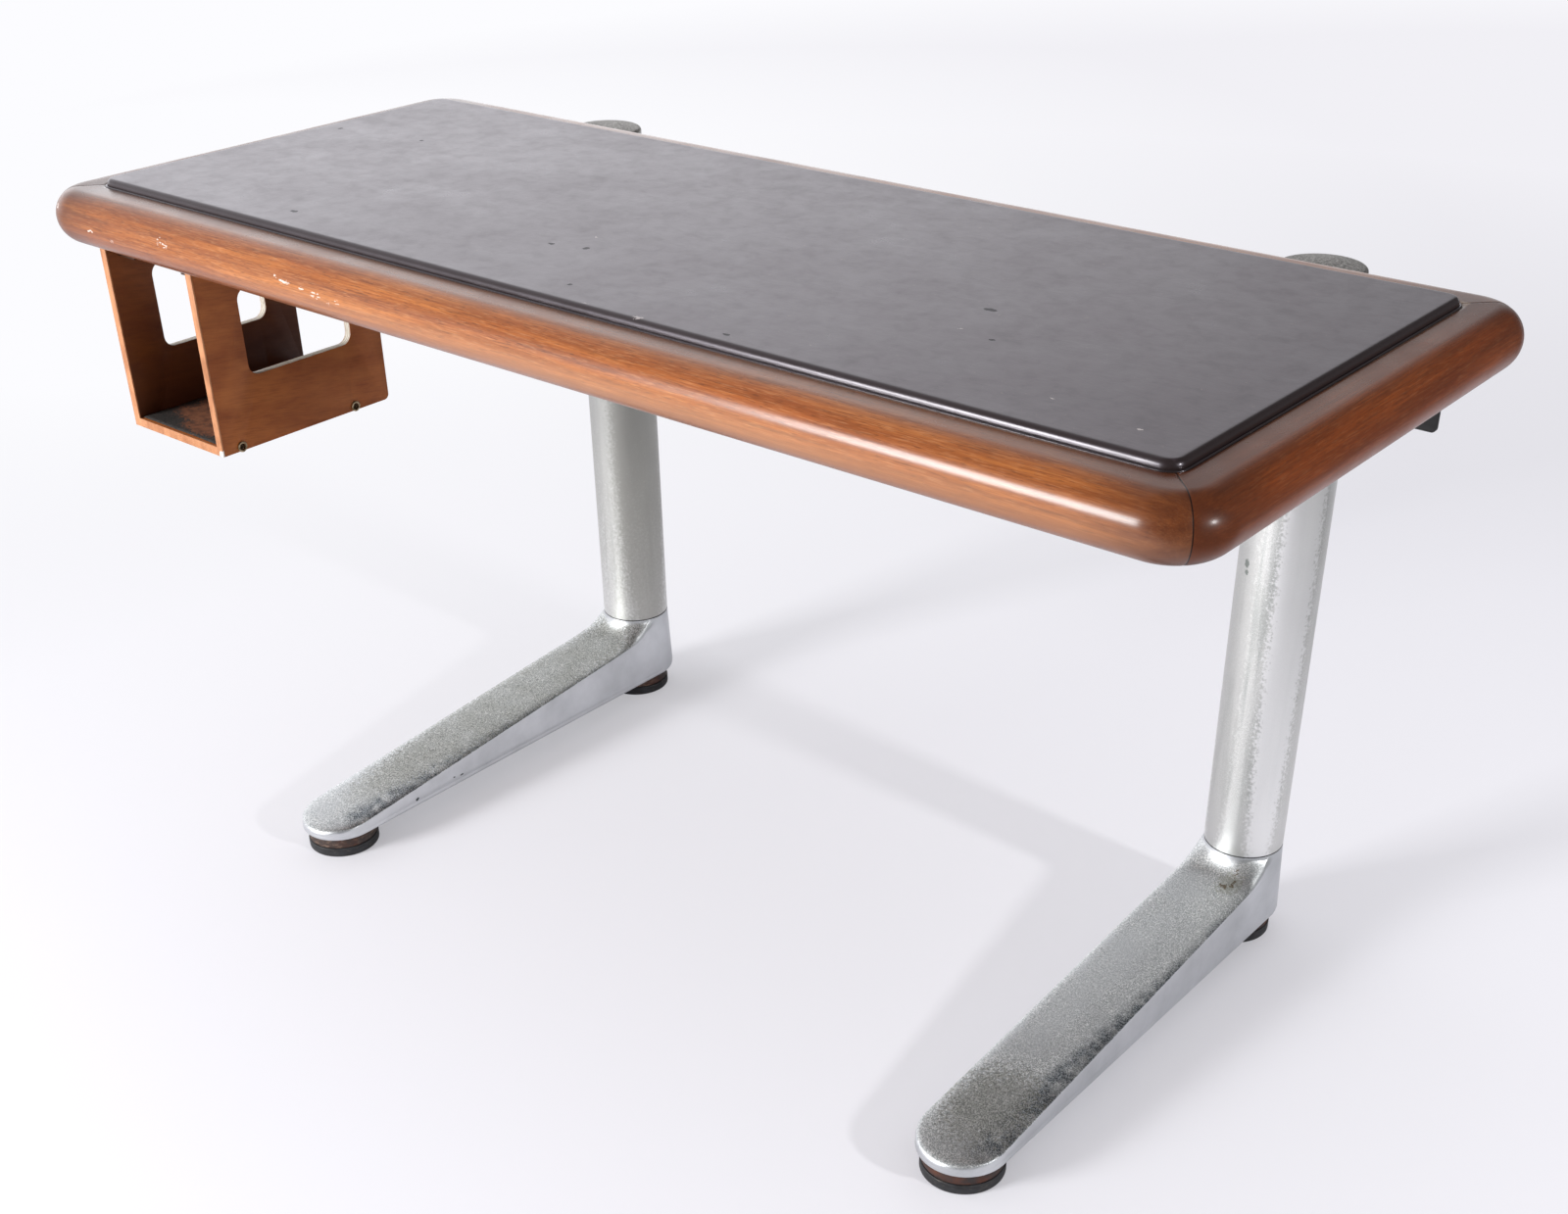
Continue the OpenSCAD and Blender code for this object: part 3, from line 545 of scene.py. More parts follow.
def foot_strip(spot, angle):
    """Points from the underside up the drafted wall, over the top and up the neck to the collar at an angle."""
    inner = (column_radius * math.cos(angle), column_y + column_radius * math.sin(angle))
    heel = max(math.sin(angle), 0) if spot[0] == "heel" else 0
    low_round = base_round + (base_round_at_heel - base_round) * heel
    height = 60
    for _ in range(4):
        x, y = outline_point(spot, wall_half(height))
        height = foot_top(x, y)
    gap = math.hypot(x - inner[0], y - inner[1])
    just_inside = 2.5 / gap if gap > 2.5 else 1
    rise = foot_top(x + (inner[0] - x) * just_inside, y + (inner[1] - y) * just_inside) - height
    rising = min(max(rise / 8, 0), 1)
    round_off = min(edge_round + (edge_round_at_neck - edge_round) * rising, 0.45 * gap)
    line = [(foot_base + low_round * (1 - math.cos(math.radians(a))), low_round * (1 - math.sin(math.radians(a))))
            for a in (0, 20, 40, 60, 90)]
    start = foot_base + low_round
    groove = foot_base + parting_height
    if start + 0.5 < groove < height - round_off - 2:
        line += [(groove - 0.4, 0), (groove, 0.12), (groove + 0.4, 0)]
    else:
        line += [(start + 0.3, 0), (start + 0.6, 0), (start + 0.9, 0)]
    strip = [(*outline_point(spot, wall_half(z) - pull), z) for z, pull in line]
    base = strip.pop()[2]
    levels = [base + (height - round_off - base) * i / 30 for i in range(31)]
    over = [(*outline_point(spot, wall_half(z)), z) for z in levels]
    for i in range(1, 241):
        inset = gap * (i / 240) ** 1.8
        px = x + (inner[0] - x) * inset / gap
        py = y + (inner[1] - y) * inset / gap
        drop = round_off - math.sqrt(max(round_off ** 2 - max(round_off - inset, 0) ** 2, 0))
        over.append((px, py, foot_top(px, py) - drop if i < 240 else seam_height - collar))
    strip += spread_rows(over, rows_over)
    for inset, rise in ((0, -0.7), (0.35, -0.2), (0.8, 0), (4.2, 0), (4.2, 30)):
        radius = column_radius - inset
        strip.append((radius * math.cos(angle), column_y + radius * math.sin(angle), seam_height + rise))
    return strip


def foot_mesh(centre_x):
    """Strips of points side by side all round the foot, turned halfway to even spacing where they meet the neck."""
    spots = foot_outline()
    order = [i for part in ("left", "tip", "right") for i, spot in enumerate(spots) if spot[0] == part]
    even = {i: -math.pi + math.pi * (rank + 0.5) / len(order) for rank, i in enumerate(order)}
    strips = []
    for index, spot in enumerate(spots):
        x, y = outline_point(spot, foot_half)
        angle = math.atan2(y - column_y, x)
        if index in even:
            angle = angle - 2 * math.pi if angle > 0 else angle
            angle = 0.5 * angle + 0.5 * even[index]
        strips.append(foot_strip(spot, angle))
    count, rows = len(strips), len(strips[0])
    points = [(p[0] + centre_x, p[1], p[2]) for strip in strips for p in strip]
    faces = [(a, d, c, b) for a, b, c, d in net(count, rows, True, False)]
    faces.append(tuple(i * rows for i in reversed(range(count))))
    faces.append(tuple(i * rows + rows - 1 for i in range(count)))
    return points, faces


def settled(made):
    """Makes the result of a piece's modifiers its own mesh."""
    shaped = bpy.data.meshes.new_from_object(made.evaluated_get(bpy.context.evaluated_depsgraph_get()))
    made.modifiers.clear()
    made.data = shaped
    return made


def cut_away(target, cutters):
    """Takes the cutters out of the target for good."""
    for cutter in cutters:
        step = target.modifiers.new("cut", "BOOLEAN")
        step.operation = "DIFFERENCE"
        step.solver = "EXACT"
        step.object = cutter
    settled(target)
    for cutter in cutters:
        bpy.data.objects.remove(cutter)


def tapered_box(low, high, draft=0):
    """A box whose upper face is smaller by draft on each side, as a casting's core is, and may slope."""
    corners = [(low[0], low[1]), (high[0], low[1]), (high[0], high[1]), (low[0], high[1])]
    upper = [(low[0] + draft, low[1] + draft), (high[0] - draft, low[1] + draft),
             (high[0] - draft, high[1] - draft), (low[0] + draft, high[1] - draft)]
    ceiling = high[2] if isinstance(high[2], list) else [high[2]] * 4
    points = [(x, y, low[2]) for x, y in corners] + [(x, y, z) for (x, y), z in zip(upper, ceiling)]
    faces = [(3, 2, 1, 0), (4, 5, 6, 7), (0, 1, 5, 4), (1, 2, 6, 5), (2, 3, 7, 6), (3, 0, 4, 7)]
    return points, faces


def foot_cores(centre_x):
    """The hollow cells between the ribs, each as high as the wall over it allows."""
    front = tip_y + 10 + wall
    pitch = (column_y - column_radius - front + rib) / cells
    half = column_radius - wall
    made = []
    for i in range(cells):
        near = front + i * pitch
        far = near + pitch - rib
        ceiling = [foot_top(half, y) - wall for y in (near, near, far, far)]
        core = tapered_box((centre_x - half, near, foot_base - 1), (centre_x + half, far, ceiling), core_draft)
        made.append(loose_object("foot_core", *core))
    return made


def nickel(name, speck_mm, colours, pitting=1.0, dulled=(), stains_and_painted_light=(), streaks=0.0, silk=0.36):
    """Satin nickel plate: bright and silky, and a speckled grey where the plate is pitted.

    The specks are drawn speck_mm apart, as coarse as the picture needs to show them. colours are smooth plate, dull
    plate, pit and rim of a pit. Where dulled a grey film lies on the plate. The marks given last, each with its
    colour, raggedness and strength, are real stains and also painted highlights and painted shade. A dark reflection
    is painted along the right edge of a foot's top. A dark line of dirt lies in the joint between foot and column.
    """
    made, tree, place = material(name, colours[0], 0.3, metallic=1.0)
    worn = add(tree, "Attribute", out="Fac", attribute_name="worn")
    dark_reflection_and_pits = add(tree, "Attribute", out="Fac", attribute_name="dark_reflection_and_pits")
    heavy = product(tree, worn, patches(tree, place, 40, 0.36, 0.58, 0.6, 1.0), pitting)
    grit = patches(tree, place, speck_mm, detail=1.5, roughness=0.6)
    coarse = patches(tree, place, speck_mm * 2.6, 0.38, 0.62, detail=2.0)
    speck = product(tree, add(tree, "MapRange", grit, 0.45, 0.56), add(tree, "MapRange", coarse, 0, 1, 0.6, 1.0))
    cloud = patches(tree, place, 70, 0.3, 0.7, detail=6, roughness=0.6)
    colour = layered(tree, colours[0], (cloud, 0.7, colours[1]), (worn, 0.35, colours[1]))
    if streaks:
        streak = patches(tree, place, 11, 0.5, 0.66, stretch=(1, 1, 14))
        colour = layered(tree, colour, (streak, worn, streaks, "#8F9592"))
    # A dark reflection is painted along the right edge of a foot's top, speckled with coarse pits.
    edge = product(tree, dark_reflection_and_pits, patches(tree, place, 14, 0.36, 0.56, 0.2, 1.0))
    colour = layered(tree, colour, (heavy, layered(tree, colours[2], (speck, colours[3]))),
                     (edge, 0.9, layered(tree, "#3A4149", (speck, "#BCC3C8"))))
    if dulled:
        film = layered(tree, "#84867F", (speck, "#CDCDC8"))
        uneven = patches(tree, place, 30, 0.35, 0.6, 0.58, 0.8)
        colour = layered(tree, colour, (marks(tree, place, dulled, 22), worn, uneven, film))
    # Real stains, painted highlights and painted shade are laid on here.
    for spots, code, ragged, strength in stains_and_painted_light:
        colour = layered(tree, colour, (marks(tree, place, spots, ragged), strength, code))
    off = add(tree, "Math", add(tree, "SeparateXYZ", place, out="Z"), seam_height * MM, operation="SUBTRACT")
    off = add(tree, "Math", off, 0.0, operation="ABSOLUTE")
    ripple = product(tree, add(tree, "Math", grit, 0.5, operation="SUBTRACT"), 0.8 * MM)
    dirt = add(tree, "MapRange", add(tree, "Math", off, ripple), 0.5 * MM, 0.9 * MM, 1, 0)
    rough = add(tree, "MapRange", heavy, 0, 1, silk, silk + 0.14)
    return dressed(made, (product(tree, grit, heavy), 0.45, 0.6), (patches(tree, place, 20, detail=3), 0.3, 0.3),
                   Base_Color=layered(tree, colour, (dirt, "#17191A")),
                   Roughness=add(tree, "Math", rough, product(tree, cloud, 0.06)),
                   Metallic=add(tree, "MapRange", dirt, 0, 1, 1.0, 0.2))


def paint(made, name, rule):
    """Stores a value from 0 to 1 at each point, by the point's place and normal, for the plate's material."""
    layer = made.data.attributes.new(name, "FLOAT", "POINT")
    layer.data.foreach_set("value", [rule(v.co / MM, v.normal) for v in made.data.vertices])


def held(share):
    """A share kept between 0 and 1."""
    return min(max(share, 0), 1)


def foot_wear(place, normal):
    """The top is worn all along and the sides only next to it."""
    return held((normal.z - 0.35) / 0.35)


def foot_dark_reflection_and_pits(place, normal):
    """Coarse pits and a painted dark reflection along the right edge of the top, most of all next to the tip."""
    neck_start = column_y - 55
    if place.y > neck_start or normal.z < 0.5:
        return 0
    side = (place.x - foot_middles["left" if place.x < 0 else "right"]) / foot_half
    inner = 0.2 + 0.55 * held((place.y - tip_y) / 320)
    ends = held((place.y - tip_y + 30) / 30) * min((neck_start - place.y) / 60, 1)
    return ends * held((side - inner) / 0.25) * held((1.0 - side) / 0.03)


foot_film = [((443, -186, 40), (46, 66, 30)), ((-443, 60, 60), (52, 310, 90))]
# The first mark is a painted highlight on the middle of the right foot's top; the others are real stains and small
# dark marks.
foot_stains_and_highlight = [
    ([((428, 30, 50), (24, 150, 60))], "#E2E5E7", 14, 0.36),
    ([((462, 214, 86), (14, 18, 12))], "#A5A798", 9, 0.45),
    ([((462.5, 228.5, 91), (1.8, 6, 5)), ((465, 216, 85), (3, 7, 4)), ((458, 209, 83), (5, 3, 3))],
     "#6E5B3E", 3.0, 0.8),
    ([((-400, -150, 33), (4, 3.5, 2.2)), ((-400, -80, 34.5), (4, 3, 1.4)), ((-400, -92, 36), (4, 2, 1))],
     "#3F4345", 0.8, 1.0),
]
foot_plate = nickel("satin_nickel_plate_on_casting", 1.25, ("#DADCDF", "#B6B9BB", "#B3B7B8", "#FCFDFD"),
                    dulled=foot_film, stains_and_painted_light=foot_stains_and_highlight)
for side, centre_x in foot_middles.items():
    foot = loose_object(side + "_foot_casting", *foot_mesh(centre_x))
    cut_away(foot, foot_cores(centre_x))
    smoothed(foot, 38)
    foot.data.materials.append(foot_plate)
    paint(foot, "worn", foot_wear)
    paint(foot, "dark_reflection_and_pits", foot_dark_reflection_and_pits)
    belongs(foot, "desk", [side + "_foot"])


# Columns
# Drawn steel tube, nickel plated and buffed lengthwise. A slot from the top lets the arm in, and the lower end sits
# on the foot with a fine shadow line. The sitter's side is pitted from about knee height down.
column_top = top_of("left_column")
column_wall = 4
column_edge, column_lip = 0.9, 0.5
column_rows = 40
slot_half = 16.3
slot_bottom = bottom_of("left_arm") - 0.3


def column_wear(place, normal):
    """Pitted on the side that faces the sitter, most of all in its lower two thirds."""
    low_down = min(max((600 - place.z) / 160, 0.1), 1)
    above_joint = min(max((place.z - 120) / 60, 0.1), 1)
    return held((-normal.y + 0.6) / 0.8) * low_down * above_joint


def tube(centre, low, high):
    """A tube with eased ends, with rows of points all the way up to carry its wear."""
    outer, inner = column_radius, column_radius - column_wall
    profile = [(inner, low), (outer - column_edge, low)]
    profile += arc((outer - column_edge, low + column_edge), column_edge, -90, 0, 3)[1:]
    rise = (high - column_lip - low - column_edge) / column_rows
    profile += [(outer, low + column_edge + rise * i) for i in range(1, column_rows + 1)]
    profile += [(outer - column_lip, high), (inner, high), (inner, low)]
    return turned(profile, centre, 128)


# The first four marks are painted light: a painted highlight down the front right of the right column, and painted
# shade on its front left, over the whole left column and down the left column's right side. The last is a small grey
# mark.
column_painted_light_and_mark = [
    ([((474, 246, 400), (22, 24, 420))], "#FDFDFD", 6, 0.85),
    ([((422, 238, 400), (22, 26, 420))], "#BDBDBB", 6, 0.6),
    ([((-443, 273, 400), (60, 60, 420))], "#B5B5B1", 8, 0.8),
    ([((-400, 258, 400), (42, 46, 420))], "#9C9B94", 8, 0.65),
    ([((425.7, 235.8, 430), (3.5, 4, 5)), ((427, 235.5, 421), (2.5, 4, 3))], "#8D928E", 1.2, 1.0),
]
column_plate = nickel("satin_nickel_plate_on_tube", 1.1, ("#E4E4E3", "#D6D6D3", "#B6B7B3", "#FAFBF9"), pitting=0.34,
                      stains_and_painted_light=column_painted_light_and_mark, streaks=0.5, silk=0.43)
for side in ("left", "right"):
    node = side + "_column"
    centre = middle(side + "_column_cap")
    column = loose_object(side + "_column_tube", *tube(centre, bottom_of(node), column_top))
    slot = tapered_box((centre.x - slot_half, centre.y - column_radius - 1, slot_bottom),
                       (centre.x + slot_half, centre.y, column_top + 1))
    cut_away(column, [loose_object("column_slot", *slot)])
    smoothed(column, 35)
    column.data.materials.append(column_plate)
    paint(column, "worn", column_wear)
    belongs(column, "desk", [node])


# Column caps
# A shallow turned cap closes each tube behind the rear edge of the top. Its upper face is slightly domed, dull and
# pitted like the feet, and a plug under it holds it in the tube.
cap_plate = nickel("pitted_nickel_cap", 1.5, ("#BBB8B3", "#9F9C97", "#75726E", "#CBC8C4"))
cap_edge = 4
cap_thickness = 3.2
dome = 1.2
plug_depth = 3
plug_outer = column_radius - column_wall - 0.2
plug_inner = column_radius - column_wall - 4.2
for side in ("left", "right"):
    node = side + "_column_cap"
    high = top_of(node)
    flat = column_radius - cap_edge
    profile = [(0, high - cap_thickness), (plug_inner, high - cap_thickness), (plug_inner, column_top - plug_depth),
               (plug_outer, column_top - plug_depth), (plug_outer, column_top), (column_radius - 0.4, column_top)]
    profile += arc((flat, high - dome - cap_edge), cap_edge, 0, 80, 8)
    profile += [(flat * s, high - dome * s * s) for s in (0.97, 0.8, 0.6, 0.4, 0.2)] + [(0, high)]
    cap = piece(side + "_domed_cap", *turned(profile, middle(node)), cap_plate, "desk", "cap", [node], 50)
    paint(cap, "worn", foot_wear)


# Arms and stretchers
# Folded and welded steel in black stoved enamel. Each arm is an upside-down channel, screwed under the top, with a
# round block clamped in its column, and steel angles between and outside the arms stiffen the rear of the top.
def black_enamel():
    """Stoved black enamel: semi-gloss with a fine orange peel, greyed by dust and rubbed at its edges."""
    made, tree, place = material("stoved_black_enamel", "#141414", 0.38)
    dust = patches(tree, place, 35, 0.42, 0.7, detail=5)
    chip = patches(tree, place, 3.0, 0.7, 0.74, detail=3)
    return dressed(made, (patches(tree, place, 1.5, detail=1), 0.05, 1.0),
                   Base_Color=layered(tree, "#121212", (dust, 0.5, "#2A2927"), (chip, "#6A645C")),
                   Roughness=add(tree, "MapRange", dust, 0, 1, 0.34, 0.6))


def softened(node, name, finish, edge_mm, steps=2, over=30):
    """A merged copy of a CAD node with its edges eased, as filing, sanding or paint leaves them."""
    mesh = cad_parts[node].data.copy()
    mesh.name = name
    mesh.materials.clear()
    mesh.materials.append(finish)
    shape = bmesh.new()
    shape.from_mesh(mesh)
    bmesh.ops.remove_doubles(shape, verts=shape.verts, dist=0.01 * MM)
    bmesh.ops.dissolve_limit(shape, angle_limit=math.radians(1), verts=shape.verts, edges=shape.edges)
    shape.to_mesh(mesh)
    shape.free()
    made = bpy.data.objects.new(name, mesh)
    bpy.context.scene.collection.objects.link(made)
    ease = made.modifiers.new("eased edges", "BEVEL")
    ease.width = edge_mm * MM
    ease.segments = steps
    ease.limit_method = "ANGLE"
    ease.angle_limit = math.radians(over)
    smoothed(settled(made), over)
    return belongs(made, "desk", [node])


enamel = black_enamel()
for node in ("left_arm", "right_arm"):
    softened(node, node + "_weldment", enamel, 0.6)
for node in ("center_stretcher", "left_outrigger", "right_outrigger"):
    softened(node, node + "_angle", enamel, 0.5)


# Boards of the top
# The core is a plain board with a tongue that the frame's groove takes, under it lies a thinner panel veneered in
# the same wood as the frame, and the board under the leather lies on the ledge of the frame.
top_half_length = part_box("right_rail")[1].x / MM
top_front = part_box("front_rail")[0].y / MM
top_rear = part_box("rear_rail")[1].y / MM
top_middle_y = (top_front + top_rear) / 2
top_half_depth = (top_rear - top_front) / 2


def along(axis, longer):
    """Stretch of a pattern that is drawn out along the grain."""
    return {"X": (longer, 1, 1), "Y": (1, longer, 1)}[axis]


def growth_rings(tree, place, axis, ring_mm, pith, wander):
    """Waves of growth rings round a pith that runs along an axis, wandering slowly along the grain."""
    moved = add(tree, "Mapping", {"Vector": place, "Location": tuple(-c * MM for c in pith)})
    slow = add(tree, "Mapping", {"Vector": moved, "Scale": tuple(1 / s for s in along(axis, 14))})
    lines = add(tree, "VectorMath", moved, drift(tree, slow, 30, wander, 3.0))
    return add(tree, "TexWave", {"Vector": lines, "Scale": 0.314 / (ring_mm * MM), "Distortion": 0.6, "Detail": 2.0,
                                 "Detail Scale": 1.0}, out="Fac", wave_type="RINGS", rings_direction=axis)


def frame_wear_and_painted_light(tree, place, axis, colour, rough, lit_lower_colour):
    """The wood's colour and roughness as the years left them on the frame of the top.

    The strip next to the leather is polished and coloured darker and greyer towards the leather. The mitres show as
    thin dark lines in wood that is darker near them, partly by stain and partly by painted shade, and the ends are
    darker. Painted light brightens the round just below its highlight, more to the right, painted shade darkens the
    bottom of the round, and a painted highlight lines the rear edge of the opening.
    """
    x, y, z = add(tree, "SeparateXYZ", place).node.outputs
    across = add(tree, "Math", x, 0.0, operation="ABSOLUTE")
    deep = add(tree, "Math", add(tree, "Math", y, top_middle_y * MM, operation="SUBTRACT"), 0.0,
               operation="ABSOLUTE")
    flat = add(tree, "MapRange", z, (wood_top - 5) * MM, (wood_top - 0.5) * MM)
    wander = product(tree, add(tree, "Math", patches(tree, place, 22), 0.5, operation="SUBTRACT"), 14 * MM)
    out = add(tree, "Math", add(tree, "Math", across, (top_half_length - band) * MM, operation="SUBTRACT"),
              add(tree, "Math", deep, (top_half_depth - band) * MM, operation="SUBTRACT"), operation="MAXIMUM")
    # The flat strip is coloured darker and greyer towards the leather.
    darker_share = add(tree, "MapRange", add(tree, "Math", out, wander), 0, 26 * MM, 0.85, 0.25)
    off = add(tree, "Math", add(tree, "Math", across, deep, operation="SUBTRACT"),
              (top_half_length - top_half_depth) * MM, operation="SUBTRACT")
    off_mitre = add(tree, "Math", off, 0.0, operation="ABSOLUTE")
    # Painted light: the round is coloured lighter just below its highlight, more so to the right.
    below = add(tree, "MapRange", z, (wood_top - 40) * MM, (wood_top - 18) * MM, 1, 0)
    lit_more_to_right = add(tree, "MapRange", x, -450 * MM, 50 * MM, 0, 0.5)
    # Painted shade: the bottom of the round is coloured darker.
    shaded_bottom = add(tree, "MapRange", z, (wood_top - 46) * MM, (wood_top - 28) * MM, 0.8, 0)
    # Near the mitres the wood is darker, partly as stained end grain and partly as painted shade.
    near_mitre = add(tree, "MapRange", off_mitre, 25 * MM, 95 * MM, 1, 0)
    uneven = patches(tree, place, 12, 0.3, 0.7, 0.6, 1.0, stretch=along(axis, 2.6))
    ends = add(tree, "MapRange", across, 330 * MM, 640 * MM, 0, 0.34)
    mitre = add(tree, "MapRange", off_mitre, 0.35 * MM, 0.9 * MM, 1, 0)
    # A painted highlight lines the wood at the rear edge of the opening.
    rub = add(tree, "MapRange", out, 0.6 * MM, 1.6 * MM, 1, 0)
    at_rear = add(tree, "MapRange", y, 0, 20 * MM)
    # In order: the darker, greyer strip by the leather, painted light under the highlight, painted shade on the
    # bottom, stain and painted shade by the mitres, the darker ends, the mitre lines, and a painted highlight at the
    # rear edge of the opening.
    colour = layered(tree, colour, (flat, darker_share, "#5C402E"), (below, lit_more_to_right, lit_lower_colour), (shaded_bottom, "#6B3417"),
                     (near_mitre, uneven, 0.9, "#3E1D0C"), (ends, "#5C2B12"), (mitre, "#120805"),
                     (rub, at_rear, 0.4, "#A8907A"))
    return colour, add(tree, "Math", rough, product(tree, flat, 0.14), operation="SUBTRACT")


def walnut(name, axis, pith, colours, streaks, flecks, gloss, chips=None):
    """Oiled figured hardwood: soft growth rings, dark streaks, pores and light flecks along the grain.

    Pores are drawn 0.8 mm wide and 10 mm long, as coarse as the picture needs. colours are light, middle and dark
    wood and the colour of the painted light just below the highlight on the frame's round. Wood with chips is part of
    the frame, and its chips are scuffed pale.
    """
    made, tree, place = material(name, colours[1], 0.4, Specular_IOR_Level=0.15, Coat_Weight=gloss,
                                 Coat_Roughness=0.22)
    rings = add(tree, "MapRange", growth_rings(tree, place, axis, 8, pith, 26), 0.1, 0.9)
    broad = patches(tree, place, 34, 0.34, 0.66, detail=5, stretch=along(axis, 6.5))
    fibre_lines = patches(tree, place, 1.5, 0.38, 0.62, detail=3, stretch=along(axis, 39))
    streak = patches(tree, place, 3.2, 0.55, 0.7, detail=5, roughness=0.6, stretch=along(axis, 26))
    pore = patches(tree, place, 0.8, 0.57, 0.7, detail=1, stretch=along(axis, 13))
    light = patches(tree, place, 0.9, 0.52, 0.7, detail=2, stretch=along(axis, 16.9))
    colour = layered(tree, colours[0], (broad, colours[1]), (rings, 0.45, colours[2]),
                     (fibre_lines, 0.5, colours[2]), (streak, streaks, "#4A250F"), (pore, 0.45, "#3A1C0C"),
                     (light, flecks, "#DDA271"))
    rough = patches(tree, place, 60, 0.4, 0.7, 0.36, 0.5, detail=5)
    if chips:
        colour, rough = frame_wear_and_painted_light(tree, place, axis, colour, rough, colours[3])
        bare = patches(tree, place, 1.5, 0.5, 0.56, detail=3, stretch=along(axis, 6))
        colour = layered(tree, colour, (marks(tree, place, chips, 1.4), bare, 0.85, "#E4D6CB"))
    grain = add(tree, "Math", product(tree, pore, -1.0), product(tree, fibre_lines, 0.3))
    waves = patches(tree, place, 30, detail=1, stretch=along(axis, 2.6))
    return dressed(made, (grain, 0.04, 0.4), (waves, 0.3, 0.1), Base_Color=colour, Roughness=rough)


def plain_board():
    """Pale lumber and plywood, sawn and sanded but never finished."""
    made, tree, place = material("plain_birch_board", "#C49A68", 0.7)
    grain = patches(tree, place, 2.5, stretch=(20, 1, 1))
    patch = patches(tree, place, 60, 0.45, 0.7, 0, 0.5, stretch=(4, 1, 1))
    figure = add(tree, "MapRange", grain, 0.35, 0.7)
    return dressed(made, (grain, 0.08, 1.0),
                   Base_Color=layered(tree, "#CFA878", (figure, "#A87C4C"), (patch, "#8E6439")))


birch = plain_board()
under_veneer = walnut("walnut_veneer_underside", "X", (0, -40, 300), ("#3E2A1E", "#4A3222", "#2E1E14"), streaks=0.4,
                      flecks=0.1, gloss=0.0)
coat(["top_core", "mitre_splines"], birch)
softened("pad_board", "eased_pad_board", birch, 3.5, steps=4)
softened("underside_panel", "veneered_underside", under_veneer, 0.4)


# Rails
# Solid hardwood shaped to a full half round on its outer side and mitred at the corners, oiled and then lacquered
# satin. The front and rear rails are orange-brown and lively, the end rails redder and darker, and years of arms
# have polished the flat strip next to the leather.
wood_top = top_of("leather_skin") - 7
wood_bottom = bottom_of("front_rail")
wood_radius = (wood_top - wood_bottom) / 2
plan_corner = 50
band = 47
ledge = 18
opening_round = 16.5
opening_edge = 0.7
ledge_height = bottom_of("leather_skin")
mitre_joint = 0.35
straight_steps, corner_steps, round_steps = 40, 26, 40


def cornered(run, straight, centre, radius, edge_y, start_x):
    """Place and inward normal at a run along a straight edge that ends in a round corner."""
    if run <= straight:
        return (start_x + run, edge_y), (0, 1)
    angle = -math.pi / 2 + (run - straight) / radius
    return (centre[0] + radius * math.cos(angle), centre[1] + radius * math.sin(angle)), \
        (-math.cos(angle), -math.sin(angle))


def rail_sections(half_length, half_depth):
    """Section stations from the middle of a rail to its mitre: outer edge, inward normal, opening edge and ledge."""
    front, opening_y, ledge_y = -half_depth, -half_depth + band, -half_depth + band + ledge
    hold = half_length - 2 * plan_corner
    stations = []
    for i in range(straight_steps):
        x = hold * i / straight_steps
        stations.append(((x, front), (0, 1), (x, opening_y), (x, ledge_y)))
    corner = (half_length - plan_corner, front + plan_corner)
    straight = corner[0] - hold
    opening_corner = (half_length - band - opening_round, opening_y + opening_round)
    opening_straight = opening_corner[0] - hold
    ledge_end = half_length - band - ledge
    for i in range(corner_steps + 1):
        share = i / corner_steps
        outer, normal = cornered(share * (straight + plan_corner * math.pi / 4), straight, corner, plan_corner,
                                 front, hold)
        opening, _ = cornered(share * (opening_straight + opening_round * math.pi / 4), opening_straight,
                              opening_corner, opening_round, opening_y, hold)
        stations.append((outer, normal, opening, (hold + share * (ledge_end - hold), ledge_y)))
    return stations


def rail_section(station, inset):
    """Closed section at a station, drawn in by inset where it would show."""
    outer, normal, opening, inside = station
    round_r = wood_radius - inset
    middle_z = (wood_top + wood_bottom) / 2
    low, high = wood_bottom + inset, wood_top - inset

    def at(depth, z):
        return outer[0] + normal[0] * depth, outer[1] + normal[1] * depth, z

    def part_way(start, end, share, z):
        return start[0] + (end[0] - start[0]) * share, start[1] + (end[1] - start[1]) * share, z

    section = [(*inside, low)]
    section += [part_way(inside, at(wood_radius, low), share, low) for share in (0.35, 0.7)]
    for i in range(round_steps + 1):
        angle = math.radians(-90 + 180 * i / round_steps)
        section.append(at(wood_radius - round_r * math.cos(angle), middle_z + round_r * math.sin(angle)))
    last = section[-1]
    section += [part_way(last, opening, share, high) for share in (0.3, 0.6, 0.85, 0.95)]
    section += [(*opening, high - opening_edge), (*opening, ledge_height), (*inside, ledge_height)]
    return section


def rail_mesh(quarter_turns, half_length, half_depth):
    """One rail, lofted from mitre to mitre and turned to its side of the top."""
    stations = rail_sections(half_length, half_depth)
    rings = [rail_section(station, 0) for station in stations]
    before = [(x - mitre_joint * 1.4, y, z) for x, y, z in rings[-1]]
    rings = rings[:-1] + [before, rail_section(stations[-1], mitre_joint)]
    rings = [[(-x, y, z) for x, y, z in ring] for ring in rings[:0:-1]] + rings
    size = len(rings[0])
    turn = Matrix.Rotation(math.pi / 2 * quarter_turns, 3, "Z")
    points = [turn @ Vector(p) + Vector((0, top_middle_y, 0)) for ring in rings for p in ring]
    faces = net(len(rings), size)
    faces.append(tuple(range(size)))
    faces.append(tuple((len(rings) - 1) * size + k for k in reversed(range(size))))
    return points, faces


